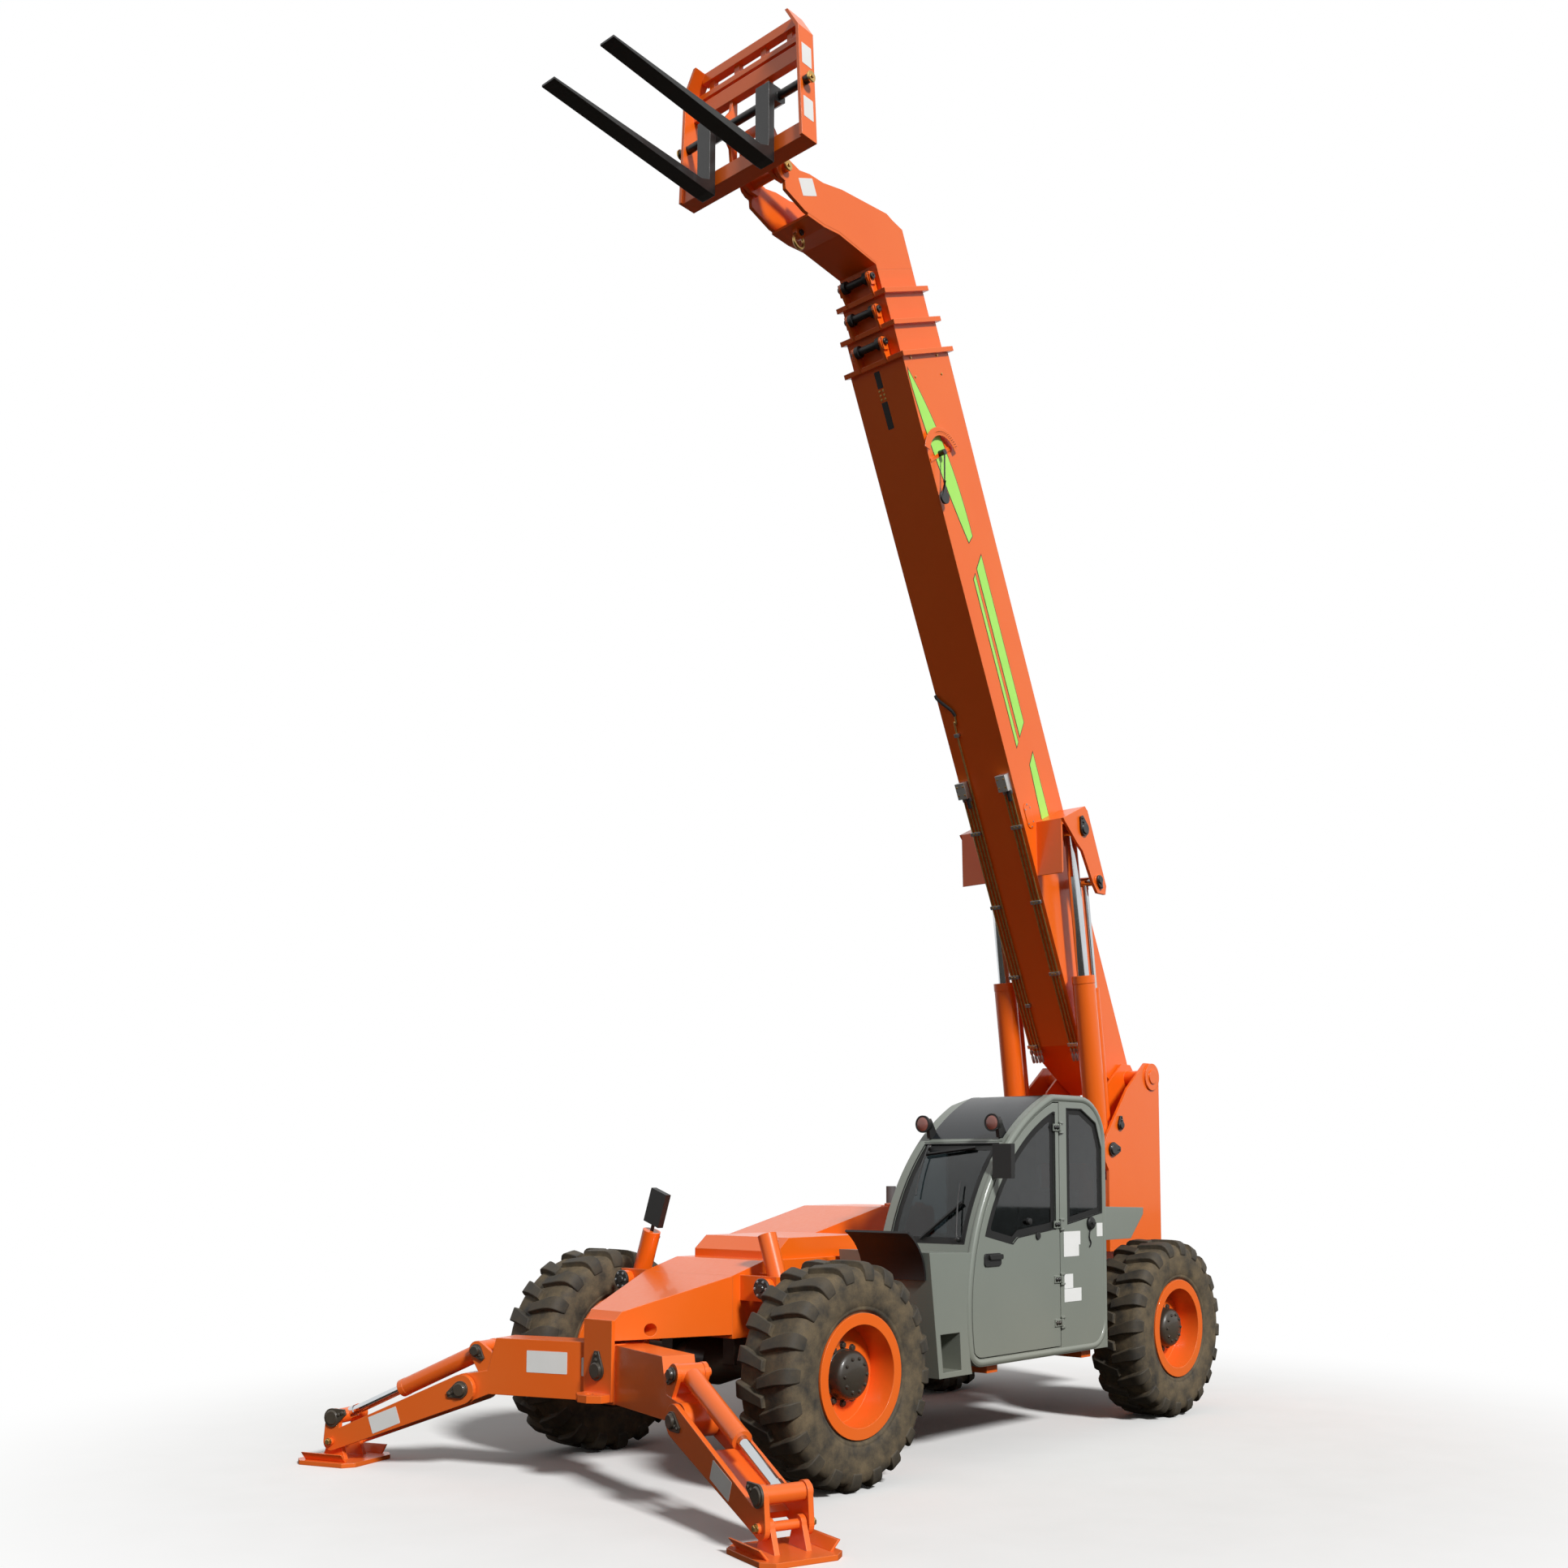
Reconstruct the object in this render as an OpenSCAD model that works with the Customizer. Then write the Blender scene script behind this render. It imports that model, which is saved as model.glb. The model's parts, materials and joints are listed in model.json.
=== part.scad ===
// Telehandler: four-wheel chassis, four-section boom, fork carriage, cab and two front outriggers.
// Modelled about the rear axle, +X forward, +Y left, +Z up, then moved so that the origin is
// at the middle of the footprint on the ground.

/* [Wheels] */
// Distance between the axles
wheelbase = 3780; // [3700:10:3900]
// Distance between the left and right wheel centres
track = 2146; // [2130:2:2180]
// Outer diameter of a tyre over its lugs
tyre_d = 1344; // [1320:2:1350]
// Width of a tyre over its lugs
tyre_w = 445; // [420:5:460]
// Diameter of the rim's lip
rim_d = 736; // [716:2:756]
// Diameter of the planetary hub
hub_d = 280; // [240:2:320]
// Diameter of the axle tubes
axle_d = 170; // [150:2:180]
// Thickness of the yoke arms that hold a steering knuckle
yoke_t = 32; // [24:1:40]

/* [Chassis] */
// Width of the main frame
frame_w = 800; // [760:10:820]
// Height of the frame's belly above the ground
frame_low = 540; // [500:5:560]
// Height of the frame's deck
deck_z = 1310; // [1290:5:1340]
// Height of the deck cover above the deck
cover_h = 135; // [100:5:150]
// Reach of the frame behind the rear axle
rear_overhang = 1080; // [1060:5:1120]
// Reach of the frame ahead of the front axle
front_overhang = 200; // [180:5:220]
// Length of the wedge nose
nose_len = 710; // [690:5:730]
// Width of the nose at its front
nose_tip_w = 250; // [220:5:270]
// Diameter of the tow lug's hole
tow_bore_d = 52; // [40:1:60]
// Thickness of the heavy plates
plate_t = 25; // [20:1:30]

/* [Boom] */
// Angle of the boom above the ground
boom_angle = 65; // [55:1:68]
// Distance of the boom pivot behind the rear axle
pivot_back = 950; // [930:5:970]
// Height of the boom pivot
pivot_z = 2675; // [2650:5:2700]
// Diameter of the boom pivot pin
pivot_d = 120; // [100:2:140]
// Width of the base section
boom_w = 513; // [500:1:520]
// Depth of the base section
boom_h = 620; // [600:2:640]
// Depth of the pivot below the boom's upper face
pivot_depth = 105; // [100:1:120]
// Length of the base section from its pivot
boom_len = 6120; // [5900:10:6300]
// Wall of each section
boom_wall = 10; // [8:1:12]
// Gap between neighbouring sections
slide_gap = 16; // [14:1:18]
// Step between neighbouring section heads
head_step = 235; // [215:5:260]
// Length of a section's head collar
collar_t = 36; // [30:1:44]
// Height of a head collar over its section
collar_h = 34; // [28:1:38]
// Diameter of the spool rollers
roller_d = 90; // [80:1:100]

/* [Carriage] */
// Reach of the tilt pin beyond the fly section's head
goose_reach = 605; // [575:5:675]
// Drop of the tilt pin below the pivot, square to the boom
tip_drop = 1240; // [1220:5:1260]
// Diameter of the tilt pin
tilt_pin_d = 70; // [60:1:80]
// Width of the carriage
carriage_w = 1200; // [1150:10:1300]
// Height of the carriage
carriage_h = 965; // [940:5:990]
// Depth of the carriage
carriage_depth = 150; // [140:2:170]
// Diameter of the fork shaft
shaft_d = 58; // [50:1:64]
// Length of a fork blade
fork_len = 1430; // [1200:10:1500]
// Width of a fork blade
fork_w = 125; // [100:5:150]
// Thickness of a fork at its heel
fork_t = 55; // [45:1:60]
// Distance between the fork centres
fork_gap = 570; // [500:10:700]

/* [Lift gear] */
// Diameter of a lift barrel
lift_d = 186; // [176:2:190]
// Diameter of a lift rod
lift_rod_d = 100; // [90:2:110]
// Length of a lift barrel from its pin
lift_barrel_len = 1440; // [1400:5:1450]
// Diameter of a slave barrel
slave_d = 78; // [70:2:88]
// Diameter of a slave rod
slave_rod_d = 45; // [40:1:50]
// Length of a slave barrel from its pin
slave_barrel_len = 1150; // [1120:5:1160]
// Diameter of the tilt barrel
tilt_d = 110; // [100:2:120]
// Diameter of the tilt rod
tilt_rod_d = 60; // [50:1:66]

/* [Outriggers] */
// Length of a cross arm from the middle of the machine to its hinge
arm_len = 1052; // [1020:2:1080]
// Width of a cross arm
arm_w = 200; // [180:2:210]
// Height of a cross arm's top
arm_top_z = 845; // [830:5:850]
// Height of the leg hinge
leg_hinge_z = 523; // [510:1:535]
// Diameter of the leg hinge pin
leg_pin_d = 70; // [60:1:80]
// Reach of a leg from its hinge to its foot pin
leg_reach = 1000; // [980:5:1020]
// Height of the foot pin
foot_pin_z = 143; // [138:1:150]
// Side of a square foot pad
foot_w = 460; // [420:5:480]
// Diameter of a leg cylinder's barrel
leg_barrel_d = 110; // [100:2:114]
// Diameter of a leg cylinder's rod
leg_rod_d = 60; // [50:1:66]

/* [Cab] */
// Distance of the cab's rear wall ahead of the rear axle
cab_rear = 920; // [900:5:940]
// Distance of the cab's outer wall from the middle of the machine
cab_out = 1200; // [1180:5:1230]
// Distance of the cab's inner wall from the middle of the machine
cab_in = 425; // [420:1:440]
// Height of the cab's floor
cab_floor = 600; // [590:5:610]
// Height of the cab's roof
cab_roof = 2410; // [2380:5:2430]
// Thickness of the cab's walls
cab_wall = 45; // [38:1:50]
// Door leaf thickness
door_t = 28; // [26:1:36]
// Thickness of the window glass
glass_t = 8; // [6:1:12]
// Distance of the cab's front ahead of the rear axle
cab_front = 2632; // [2600:4:2650]
// Distance of the door post's rear edge ahead of the rear axle
door_rear = 1480; // [1460:5:1500]

/* [Engine pod] */
// Distance of the engine pod's front behind the front axle
pod_back = 1030; // [1000:10:1100]
// Height of the pod's top
pod_top = 1600; // [1580:5:1610]
// Height of the seam between the housing and the hood
pod_seam = 1256; // [1230:2:1280]
// Thickness of the pod's panels
pod_wall = 30; // [25:1:36]

/* [Hidden] */
$fn = 48;
orange = "#f26a21";
grey = "#8d9289";
black = "#232323";
chrome = "#c8ccd0";
smoke = "#39434a";
// Radial clearance of pins and rods, and of fits within one body
pin_fit = 0.5;
seat_fit = 0.3;
// Overshoot of cuts
eps = 1;
// Running gear
axle_z = tyre_d / 2;
wheel_y = track / 2;
king_y = wheel_y - tyre_w / 2 + 20;
king_d = 50;
frame_half = frame_w / 2;
frame_front = wheelbase + front_overhang;
arch_z = axle_z + 173;
rear_deck_z = 1220;
front_deck_z = 1230;
nose_front = frame_front + nose_len;
rim_seat = rim_d / 2 - 46;
bead = 0.42 * tyre_w;
// Frame-levelling cylinders: points are [out from the middle, up]
sway_x = wheelbase + 30;
sway_d = 120;
sway_top = [wheel_y - 545, 1480];
sway_foot = [wheel_y - 333, axle_z + 195];
sway_pivot = sway_foot + (sway_top - sway_foot) * 0.48;
sway_lean = atan2(sway_top[0] - sway_foot[0], sway_top[1] - sway_foot[1]);
sway_reach = norm(sway_top - sway_foot);
// Hitch, nose and towers
hitch_z = 790;
hitch_len = 90;
hitch_bore_d = 40;
nose_low = 895;
nose_plan = [
    [frame_front, -frame_half], [nose_front, -nose_tip_w / 2], [nose_front, nose_tip_w / 2],
        [frame_front, frame_half]
];
// Boom: points are [along the boom, square to it], measured from the pivot
pivot = [-pivot_back, pivot_z];
boom_high = pivot_depth;
boom_low = pivot_depth - boom_h;
boom_half = boom_w / 2;
section_step = boom_wall + slide_gap;
tower_in = boom_half + 14;
tower_gap = 205;
tower_out = tower_in + 20 + tower_gap;
ram_y = tower_in + 20 + tower_gap / 2;
tower_base_t = 30;
tower_front = -250;
tower_outline = [
    [-rear_overhang, rear_deck_z + tower_base_t], [tower_front, rear_deck_z + tower_base_t],
        [tower_front, 1880],
    [-200, 1950], [-190, 2100], [-240, 2180], [-560, 2560], [-860, 2790], [-1000, 2790],
        [-rear_overhang, 2700]
];
bracket_out = tower_out;
lift_foot = [-301, 2053];
slave_foot = [-428, 2253];
lift_top = [2233, -87];
slave_top = [1784, -54];
lift_pin_d = 80;
slave_pin_d = 50;
lift_rod_len = 1360;
slave_rod_len = 1045;
second_head = boom_len + head_step;
third_head = boom_len + 2 * head_step;
fly_head = boom_len + 3 * head_step;
tail_step = 150;
roller_out = 110;
roller_pin_d = 30;
// Gooseneck and tilt gear
goose_tip = [fly_head + goose_reach, -tip_drop];
goose_half = boom_half - 3 * section_step;
goose_t = 28;
tilt_crank = [80, 150];
tilt_anchor = [-930, -40];
tilt_barrel_len = 600;
tilt_rod_len = 620;
// Carriage, measured from the tilt pin with the forks level
carriage_back = 128;
carriage_low = -80;
shaft_at = [carriage_back + 100, 333];
fork_heel = -178;
carriage_top = carriage_low + carriage_h;
carriage_front = carriage_back + carriage_depth;
// Outriggers: points are [out along the leg, up], measured from the leg hinge
arm_x = nose_front - 150;
arm_toe = 18;
leg_cyl_top = [-84, 239];
leg_rod_eye = [988, -228];
leg_foot = [leg_reach, foot_pin_z - leg_hinge_z];
leg_in = arm_w / 2 + 8;
leg_t = 30;
leg_barrel_len = 690;
leg_rod_len = 590;
leg_cyl_pin_d = 50;
foot_pin_d = 50;
arm_hub = [arm_x - 100, nose_front];
arm_low_z = 500;
arm_profile = [
    [-arm_len, arm_low_z - leg_hinge_z], [-180, arm_low_z - leg_hinge_z], [0, -92], [60, 0], [0, 92],
        [-170, 120],
    [-230, arm_top_z - leg_hinge_z], [-arm_len, arm_top_z - leg_hinge_z]
];
// Cab
cab_in_rear = 565;
// Big arc of the screen and roof, and the rounded corners at the toe and behind the roof
cab_arc_at = [1076, 950];
cab_arc_r = cab_front - cab_arc_at[0];
arc_sides = 360;
cab_toe_r = 160;
cab_rear_r = 330;
door_gap = 8;
pillar = 58;
// Door hinge axis seen from above, heights of its hinges, and their pin
door_axis = [door_rear + pillar - door_gap / 2, cab_out + 12];
door_hinges = [780, 1080, 1460, 2140];
door_pin_d = 14;
cab_outline = concat(
    [[cab_rear, cab_floor]],
    arc([cab_front + 2 - cab_toe_r, cab_floor + cab_toe_r], cab_toe_r, -90, 0),
    [[cab_front + 2, cab_roof]],
    arc([cab_rear + cab_rear_r, cab_roof - cab_rear_r], cab_rear_r, 90, 180)
);
cab_plan = [
    [cab_rear, cab_in_rear], [1540, cab_in_rear], [1760, cab_in], [2700, cab_in], [2700, cab_out],
        [cab_rear, cab_out]
];
// Lower edge of the door's window, closed above the roof
door_sill = [
    [door_rear + 110, 1475], [2050, 1428], [2110, 1386], [cab_front, 1492], [cab_front, cab_roof + 100],
    [door_rear + 110, cab_roof + 100]
];
step_top = 1340;
step_out = cab_out;
step_in = cab_in + 20;
step_low = 565;
// Depth of the step box, a share of the room between the cab and the front tyre
step_d = 0.634 * (wheelbase - tyre_d / 2 - cab_front);
step_lean = 7;
// Engine pod
pod_rear = 880;
pod_len = wheelbase - pod_back - pod_rear;
exhaust_d = 80;
pod_in = 415;
pod_inner_t = 23;
pod_hood_in = pod_in + pod_inner_t + pin_fit;
hood_hinge = [-pod_hood_in - 2, pod_top + 15];
hood_pin_d = 14;
hood_hinge_x = [pod_rear + 120, pod_rear + 500];
pod_profile = [
    [pod_rear, pod_seam], [pod_rear + pod_len, pod_seam], [pod_rear + pod_len - 50, pod_seam + 75],
    [pod_rear + 680, pod_top], [pod_rear + 40, pod_top], [pod_rear, pod_top - 40]
];
// Middle of the footprint, from the back of the hitch to the front corners of the feet
rear_reach = rear_overhang + hitch_len;
foot_cut = 60;
front_reach = arm_x + (arm_len + leg_reach) * sin(arm_toe)
    + (foot_w / 2 - foot_cut) * sin(arm_toe) + foot_w / 2 * cos(arm_toe);
origin_x = (front_reach - rear_reach) / 2;

// Direction and length from one [x, z] point to another, and a boom point in machine coordinates
function heading(a, b) = atan2(b[1] - a[1], b[0] - a[0]);
function span(a, b) = norm(b - a);
function boom_pt(p) = pivot + [
    p[0] * cos(boom_angle) - p[1] * sin(boom_angle), p[0] * sin(boom_angle) + p[1] * cos(boom_angle)
];
// Counter-clockwise outline moved inwards by t
function unit(a) = a / norm(a);
function left_of(a) = [-a[1], a[0]];
function inset(p, t) = [
    for (i = [0 : len(p) - 1])
        let (
            n = left_of(unit(p[i] - p[(i + len(p) - 1) % len(p)])),
            m = left_of(unit(p[(i + 1) % len(p)] - p[i]))
        )
        p[i] + t * (n + m) / (1 + n * m)
];
// Points of an arc, and of the strip that wraps two circles
function arc(c, r, a0, a1, n = 8) = [
    for (i = [0 : n]) let (a = a0 + (a1 - a0) * i / n) c + r * [cos(a), sin(a)]
];
function link(a, ra, b, rb) =
    let (h = heading(a, b), tilt = asin((ra - rb) / span(a, b)))
    concat(arc(b, rb, h - 90 + tilt, h + 90 - tilt, 12), arc(a, ra, h + 90 - tilt, h + 270 + tilt, 12));

// Shared shapes
module painted(c) { translate([-origin_x, 0, 0]) color(c) children(); }
module both_sides() {
    children();
    mirror([0, 1, 0]) children();
}
module on_side(side) { mirror([0, side < 0 ? 1 : 0, 0]) children(); }
module block(x, y, z) { translate([x[0], y[0], z[0]]) cube([x[1] - x[0], y[1] - y[0], z[1] - z[0]]); }
// Plate with its outline in the X-Z plane, between two Y values
module plate(outline, y) {
    translate([0, y[1], 0]) rotate([90, 0, 0]) linear_extrude(y[1] - y[0]) polygon(outline);
}
module pin(at, y, d, sides = 48) {
    translate([at[0], y[0], at[1]]) rotate([-90, 0, 0]) cylinder(h = y[1] - y[0], d = d, $fn = sides);
}
module rod_x(x, d) { translate([x[0], 0, 0]) rotate([0, 90, 0]) cylinder(h = x[1] - x[0], d = d); }
module on_boom() { translate([pivot[0], 0, pivot[1]]) rotate([0, -boom_angle, 0]) children(); }
module on_tip() {
    on_boom() translate([goose_tip[0], 0, goose_tip[1]]) rotate([0, boom_angle, 0]) children();
}
module on_ram(a, b, y) { translate([a[0], y, a[1]]) rotate([0, -heading(a, b), 0]) children(); }
module on_leg(side) {
    on_side(side) translate([arm_x, 0, leg_hinge_z]) rotate([0, 0, 90 - arm_toe])
        translate([arm_len, 0, 0]) children();
}
// Hydraulic barrel along +X from its pin, and a rod that ends in an eye at the origin
module ram_barrel(length, d, rod_d, eye_w, pin_d, bore_from) {
    difference() {
        union() {
            pin([0, 0], [-eye_w / 2, eye_w / 2], d);
            rod_x([d * 0.42, length], d);
            rod_x([length - d * 0.35, length], d * 1.03);
        }
        pin([0, 0], [-eye_w / 2 - eps, eye_w / 2 + eps], pin_d + 2 * pin_fit);
        rod_x([bore_from, length + eps], rod_d + 2 * pin_fit);
    }
}
module ram_rod(length, d, eye_d, eye_w) {
    pin([0, 0], [-eye_w / 2, eye_w / 2], eye_d);
    rod_x([-length, 0], d);
    rod_x([-eye_d * 0.85, 0], d * 1.2);
}

// Chassis
module frame_body() {
    plate([
        [-rear_overhang, 760], [-420, 760], [-300, arch_z], [300, arch_z], [470, frame_low],
        [wheelbase - 470, frame_low], [wheelbase - 300, arch_z], [frame_front, arch_z],
            [frame_front, front_deck_z],
        [wheelbase - 80, deck_z], [-100, deck_z], [tower_front + 20, rear_deck_z],
            [-rear_overhang, rear_deck_z]
    ], [-frame_half, frame_half]);
    plate([
        [wheelbase - 1080, deck_z - eps], [wheelbase - 226, deck_z - eps], [wheelbase - 226, deck_z + 50],
        [wheelbase - 330, deck_z + cover_h], [wheelbase - 1064, deck_z + cover_h]
    ], [-frame_half + 20, frame_half - 20]);
}
// Shelves that carry the cab and the engine pod
module shelves() {
    for (x = [1060, 2220])
        block([x, x + 120], [-cab_out + 60, cab_out - 60], [frame_low, cab_floor]);
}
module sway_ears() {
    for (x = [sway_x - 105, sway_x + 70])
        block([x, x + 35], [frame_half - eps, sway_pivot[0] + 70], [sway_pivot[1] - 85, sway_pivot[1] + 70]);
}
module main_frame() {
    painted(orange) {
        difference() {
            union() {
                frame_body();
                shelves();
                both_sides() sway_ears();
            }
            both_sides() translate([sway_x - 200, sway_pivot[0], sway_pivot[1]])
                rotate([0, 90, 0]) cylinder(h = 400, d = 50 + 2 * seat_fit);
        }
        rear_hitch();
    }
}
module rear_hitch() {
    x = -rear_overhang - hitch_len;
    difference() {
        block([x, -rear_overhang + eps], [-70, 70], [hitch_z - 20, hitch_z + 20]);
        translate([x + 40, 0, hitch_z - 50]) cylinder(h = 100, d = hitch_bore_d);
    }
}
module boom_towers() {
    painted(orange) {
        block([-rear_overhang, tower_front], [-tower_out - 25, tower_out + 25],
            [rear_deck_z, rear_deck_z + tower_base_t]);
        both_sides() {
            plate(tower_outline, [tower_in, tower_in + 20]);
            plate(tower_outline, [tower_out, tower_out + 25]);
            block([-rear_overhang, -rear_overhang + plate_t], [tower_in, tower_out + eps],
                [rear_deck_z, 2690]);
            block([-rear_overhang, tower_front], [tower_in, tower_out + eps], [1780, 1800]);
            block([tower_front - plate_t, tower_front], [tower_in, tower_out + eps], [rear_deck_z, 1800]);
            pin(lift_foot, [tower_in, tower_out + 50], lift_pin_d);
            pin(slave_foot, [tower_in, tower_out + 50], slave_pin_d);
            pin(pivot, [tower_out, tower_out + 40], 230);
        }
        block([-rear_overhang, -rear_overhang + plate_t], [-tower_in, tower_in], [rear_deck_z, 2150]);
        pin(pivot, [-tower_out - 50, tower_out + 50], pivot_d);
    }
}
module nose_box() {
    intersection() {
        linear_extrude(2000) polygon(nose_plan);
        plate([
            [frame_front, nose_low - eps], [nose_front, nose_low - eps], [nose_front, 990],
                [nose_front - 40, 1040],
            [frame_front, front_deck_z]
        ], [-frame_half, frame_half]);
    }
    translate([0, 0, nose_low - plate_t]) linear_extrude(plate_t) polygon(nose_plan);
}
module front_nose() {
    painted(orange) {
        difference() {
            nose_box();
            pin([nose_front - 210, nose_low + 30], [-frame_half, frame_half], 76);
        }
        for (x = [nose_front, arm_x - 100 - plate_t])
            block([x, x + plate_t], [-nose_tip_w / 2, nose_tip_w / 2], [leg_hinge_z - 10, nose_low]);
        block([nose_front, nose_front + plate_t], [-nose_tip_w / 2, nose_tip_w / 2], [nose_low - eps, 990]);
        translate([nose_front + plate_t, 0, 691]) rotate([0, 90, 0]) cylinder(h = 18, d = 80);
        tow_lug();
    }
}
module tow_lug() {
    difference() {
        translate([0, 0, leg_hinge_z - 10]) linear_extrude(45) polygon([
            [nose_front, -nose_tip_w / 2 + 10], [nose_front + 90, -nose_tip_w / 2 + 10],
                [nose_front + 140, -40],
            [nose_front + 140, 40], [nose_front + 90, nose_tip_w / 2 - 10], [nose_front, nose_tip_w / 2 - 10]
        ]);
        translate([nose_front + 85, 0, leg_hinge_z - 20]) cylinder(h = 80, d = tow_bore_d);
    }
}
module arm(side) {
    ear = arm_w / 2 - 28;
    on_leg(side) {
        plate(arm_profile, [-arm_w / 2, arm_w / 2]);
        pin([0, 0], [-arm_w / 2, arm_w / 2], 190);
        both_sides() plate(link([-200, 120], 90, leg_cyl_top, 58), [ear, arm_w / 2 - 2]);
        pin(leg_cyl_top, [-arm_w / 2 - 25, arm_w / 2 + 25], leg_cyl_pin_d);
        pin([0, 0], [-leg_in - leg_t - 22, leg_in + leg_t + 22], leg_pin_d);
    }
}
module outrigger_arms() {
    painted(orange) {
        arm(1);
        arm(-1);
        block(arm_hub, [-nose_tip_w / 2, nose_tip_w / 2], [arm_low_z - 4, arm_top_z + 4]);
    }
}

// Axles, knuckles and wheels
module axle(pad_top) {
    rotate([90, 0, 0]) {
        rotate_extrude() polygon([[0, -300], [axle_d / 2, -300], [150, -90], [150, 90], [axle_d / 2, 300],
            [0, 300]]);
        translate([0, 0, -king_y + 90]) cylinder(h = 2 * king_y - 180, d = axle_d);
    }
    both_sides() {
        block([-75, 75], [king_y - 140, king_y - 85], [-145, 145]);
        for (z = [-145, 145 - yoke_t]) {
            block([-75, 75], [king_y - 100, king_y], [z, z + yoke_t]);
            translate([0, king_y, z]) cylinder(h = yoke_t, d = 150);
        }
        translate([0, king_y, -150]) cylinder(h = 300, d = king_d);
        block([-110, 110], [230, 330], [0, pad_top]);
    }
}
module front_axle() {
    painted(black) translate([wheelbase, 0, axle_z]) {
        axle(arch_z - axle_z);
        both_sides() difference() {
            for (x = [sway_x - wheelbase - 70, sway_x - wheelbase + 35])
                block([x, x + 35], [sway_foot[0] - 50, sway_foot[0] + 40], [0, sway_foot[1] - axle_z + 45]);
            translate([-100, sway_foot[0], sway_foot[1] - axle_z]) rotate([0, 90, 0])
                cylinder(h = 300, d = 40 + 2 * seat_fit);
        }
    }
}
module rear_axle() { painted(black) translate([0, 0, axle_z]) axle(arch_z - axle_z); }
module sway_cylinders() {
    painted(orange) both_sides() translate([sway_x, 0, 0]) {
        translate([0, sway_foot[0], sway_foot[1]]) rotate([-sway_lean, 0, 0]) {
            translate([-34, 0, 0]) rotate([0, 90, 0]) cylinder(h = 68, d = 90);
            cylinder(h = sway_reach, d = 60);
            translate([0, 0, sway_reach * 0.3]) cylinder(h = sway_reach * 0.7, d = sway_d);
        }
        translate([-75, sway_foot[0], sway_foot[1]]) rotate([0, 90, 0]) cylinder(h = 150, d = 40);
        translate([-115, sway_pivot[0], sway_pivot[1]]) rotate([0, 90, 0]) cylinder(h = 240, d = 50);
        translate([105 + seat_fit, sway_pivot[0], sway_pivot[1]]) rotate([0, 90, 0])
            cylinder(h = 50, d = 120);
    }
}
module at_wheel(x, side) { on_side(side) translate([x, wheel_y, axle_z]) children(); }
module knuckle(x, side) {
    spindle_from = king_y - wheel_y;
    painted(black) at_wheel(x, side) difference() {
        union() {
            translate([0, spindle_from, -145 + yoke_t + pin_fit])
                cylinder(h = 290 - 2 * yoke_t - 2 * pin_fit, d = 120);
            pin([0, 0], [spindle_from, -60], 190);
            pin([0, 0], [-61, 60], 120);
        }
        translate([0, spindle_from, -200]) cylinder(h = 400, d = king_d + 2 * pin_fit);
    }
}
lugs = 20;
lug_h = 32;
// Ring of the tyre with its tread at a radius r
module tyre_ring(r) {
    w = tyre_w / 2;
    rotate([90, 0, 0]) rotate_extrude($fn = 2 * lugs) polygon(concat(
        [[rim_seat, -bead], [rim_d / 2 + 6, -bead], [rim_d / 2 + 70, -w], [r - 75, -w], [r, -w + 75]],
        [[r, w - 75], [r - 75, w], [rim_d / 2 + 70, w], [rim_d / 2 + 6, bead], [rim_seat, bead]]
    ));
}
// Slanted bar from the middle of the tread out over the shoulder, drawn flat and raised to the tread
module lug_bar(side) {
    w = tyre_w / 2;
    translate([0, 0, tyre_d / 2 - lug_h - 60]) linear_extrude(lug_h + 80) polygon([
        for (p = [[30, -18], [-34, -18], [-96, 0.55 * w], [-104, w + 10], [-10, w + 10], [-4, 0.6 * w]])
            [p[0], side * p[1]]
    ]);
}
module tyre(x, side) {
    painted("#4a4640") at_wheel(x, side) {
        tyre_ring(tyre_d / 2 - lug_h);
        intersection() {
            tyre_ring(tyre_d / 2);
            for (i = [0 : lugs - 1], s = [-1, 1])
                rotate([0, (i + (s < 0 ? 0.5 : 0)) * 360 / lugs, 0]) lug_bar(s);
        }
    }
}
module rim(x, side) {
    s = rim_seat - seat_fit;
    lip = bead + seat_fit;
    painted(orange) at_wheel(x, side) rotate([-90, 0, 0]) {
        rotate_extrude($fn = 96) polygon([
            [s - 22, -lip - 16], [rim_d / 2, -lip - 16], [rim_d / 2, -lip], [s, -lip],
            [s, lip], [rim_d / 2, lip], [rim_d / 2, lip + 16], [s - 22, lip + 16],
            [s - 30, 20], [hub_d / 2 + 40, 48], [60 + pin_fit, 48], [60 + pin_fit, 20], [hub_d / 2 + 40, 20],
            [s - 30, -8]
        ]);
        rotate_extrude() polygon([
            [60 + pin_fit, 47], [hub_d / 2, 47], [hub_d / 2, 120], [hub_d / 2 - 18, 150], [0, 156], [0, 70],
            [60 + pin_fit, 70]
        ]);
    }
}

// Boom sections: k counts from the base section inwards
function half_w(k) = boom_half - k * section_step;
function low(k) = boom_low + k * section_step;
function high(k) = boom_high - k * section_step;
module section_box(k, x, grow = 0) {
    block(x, [-half_w(k) - grow, half_w(k) + grow], [low(k) - grow, high(k) + grow]);
}
// Hollow section with wear pads for the next one inside its head
module section(k, x0, x1) {
    pad = slide_gap - seat_fit;
    difference() {
        union() {
            section_box(k, [x0, x1]);
            section_box(k, [x1 - collar_t, x1], collar_h);
        }
        section_box(k, [x0 + 20, x1 + eps], -boom_wall);
    }
    for (z = [low(k) + boom_wall, high(k) - boom_wall - pad])
        block([x1 - 260, x1 - 60], [-half_w(k) * 0.6, half_w(k) * 0.6], [z, z + pad]);
    both_sides() block(
        [x1 - 260, x1 - 60], [half_w(k) - boom_wall - pad, half_w(k) - boom_wall],
            [low(k) + 120, high(k) - 120]
    );
}
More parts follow.
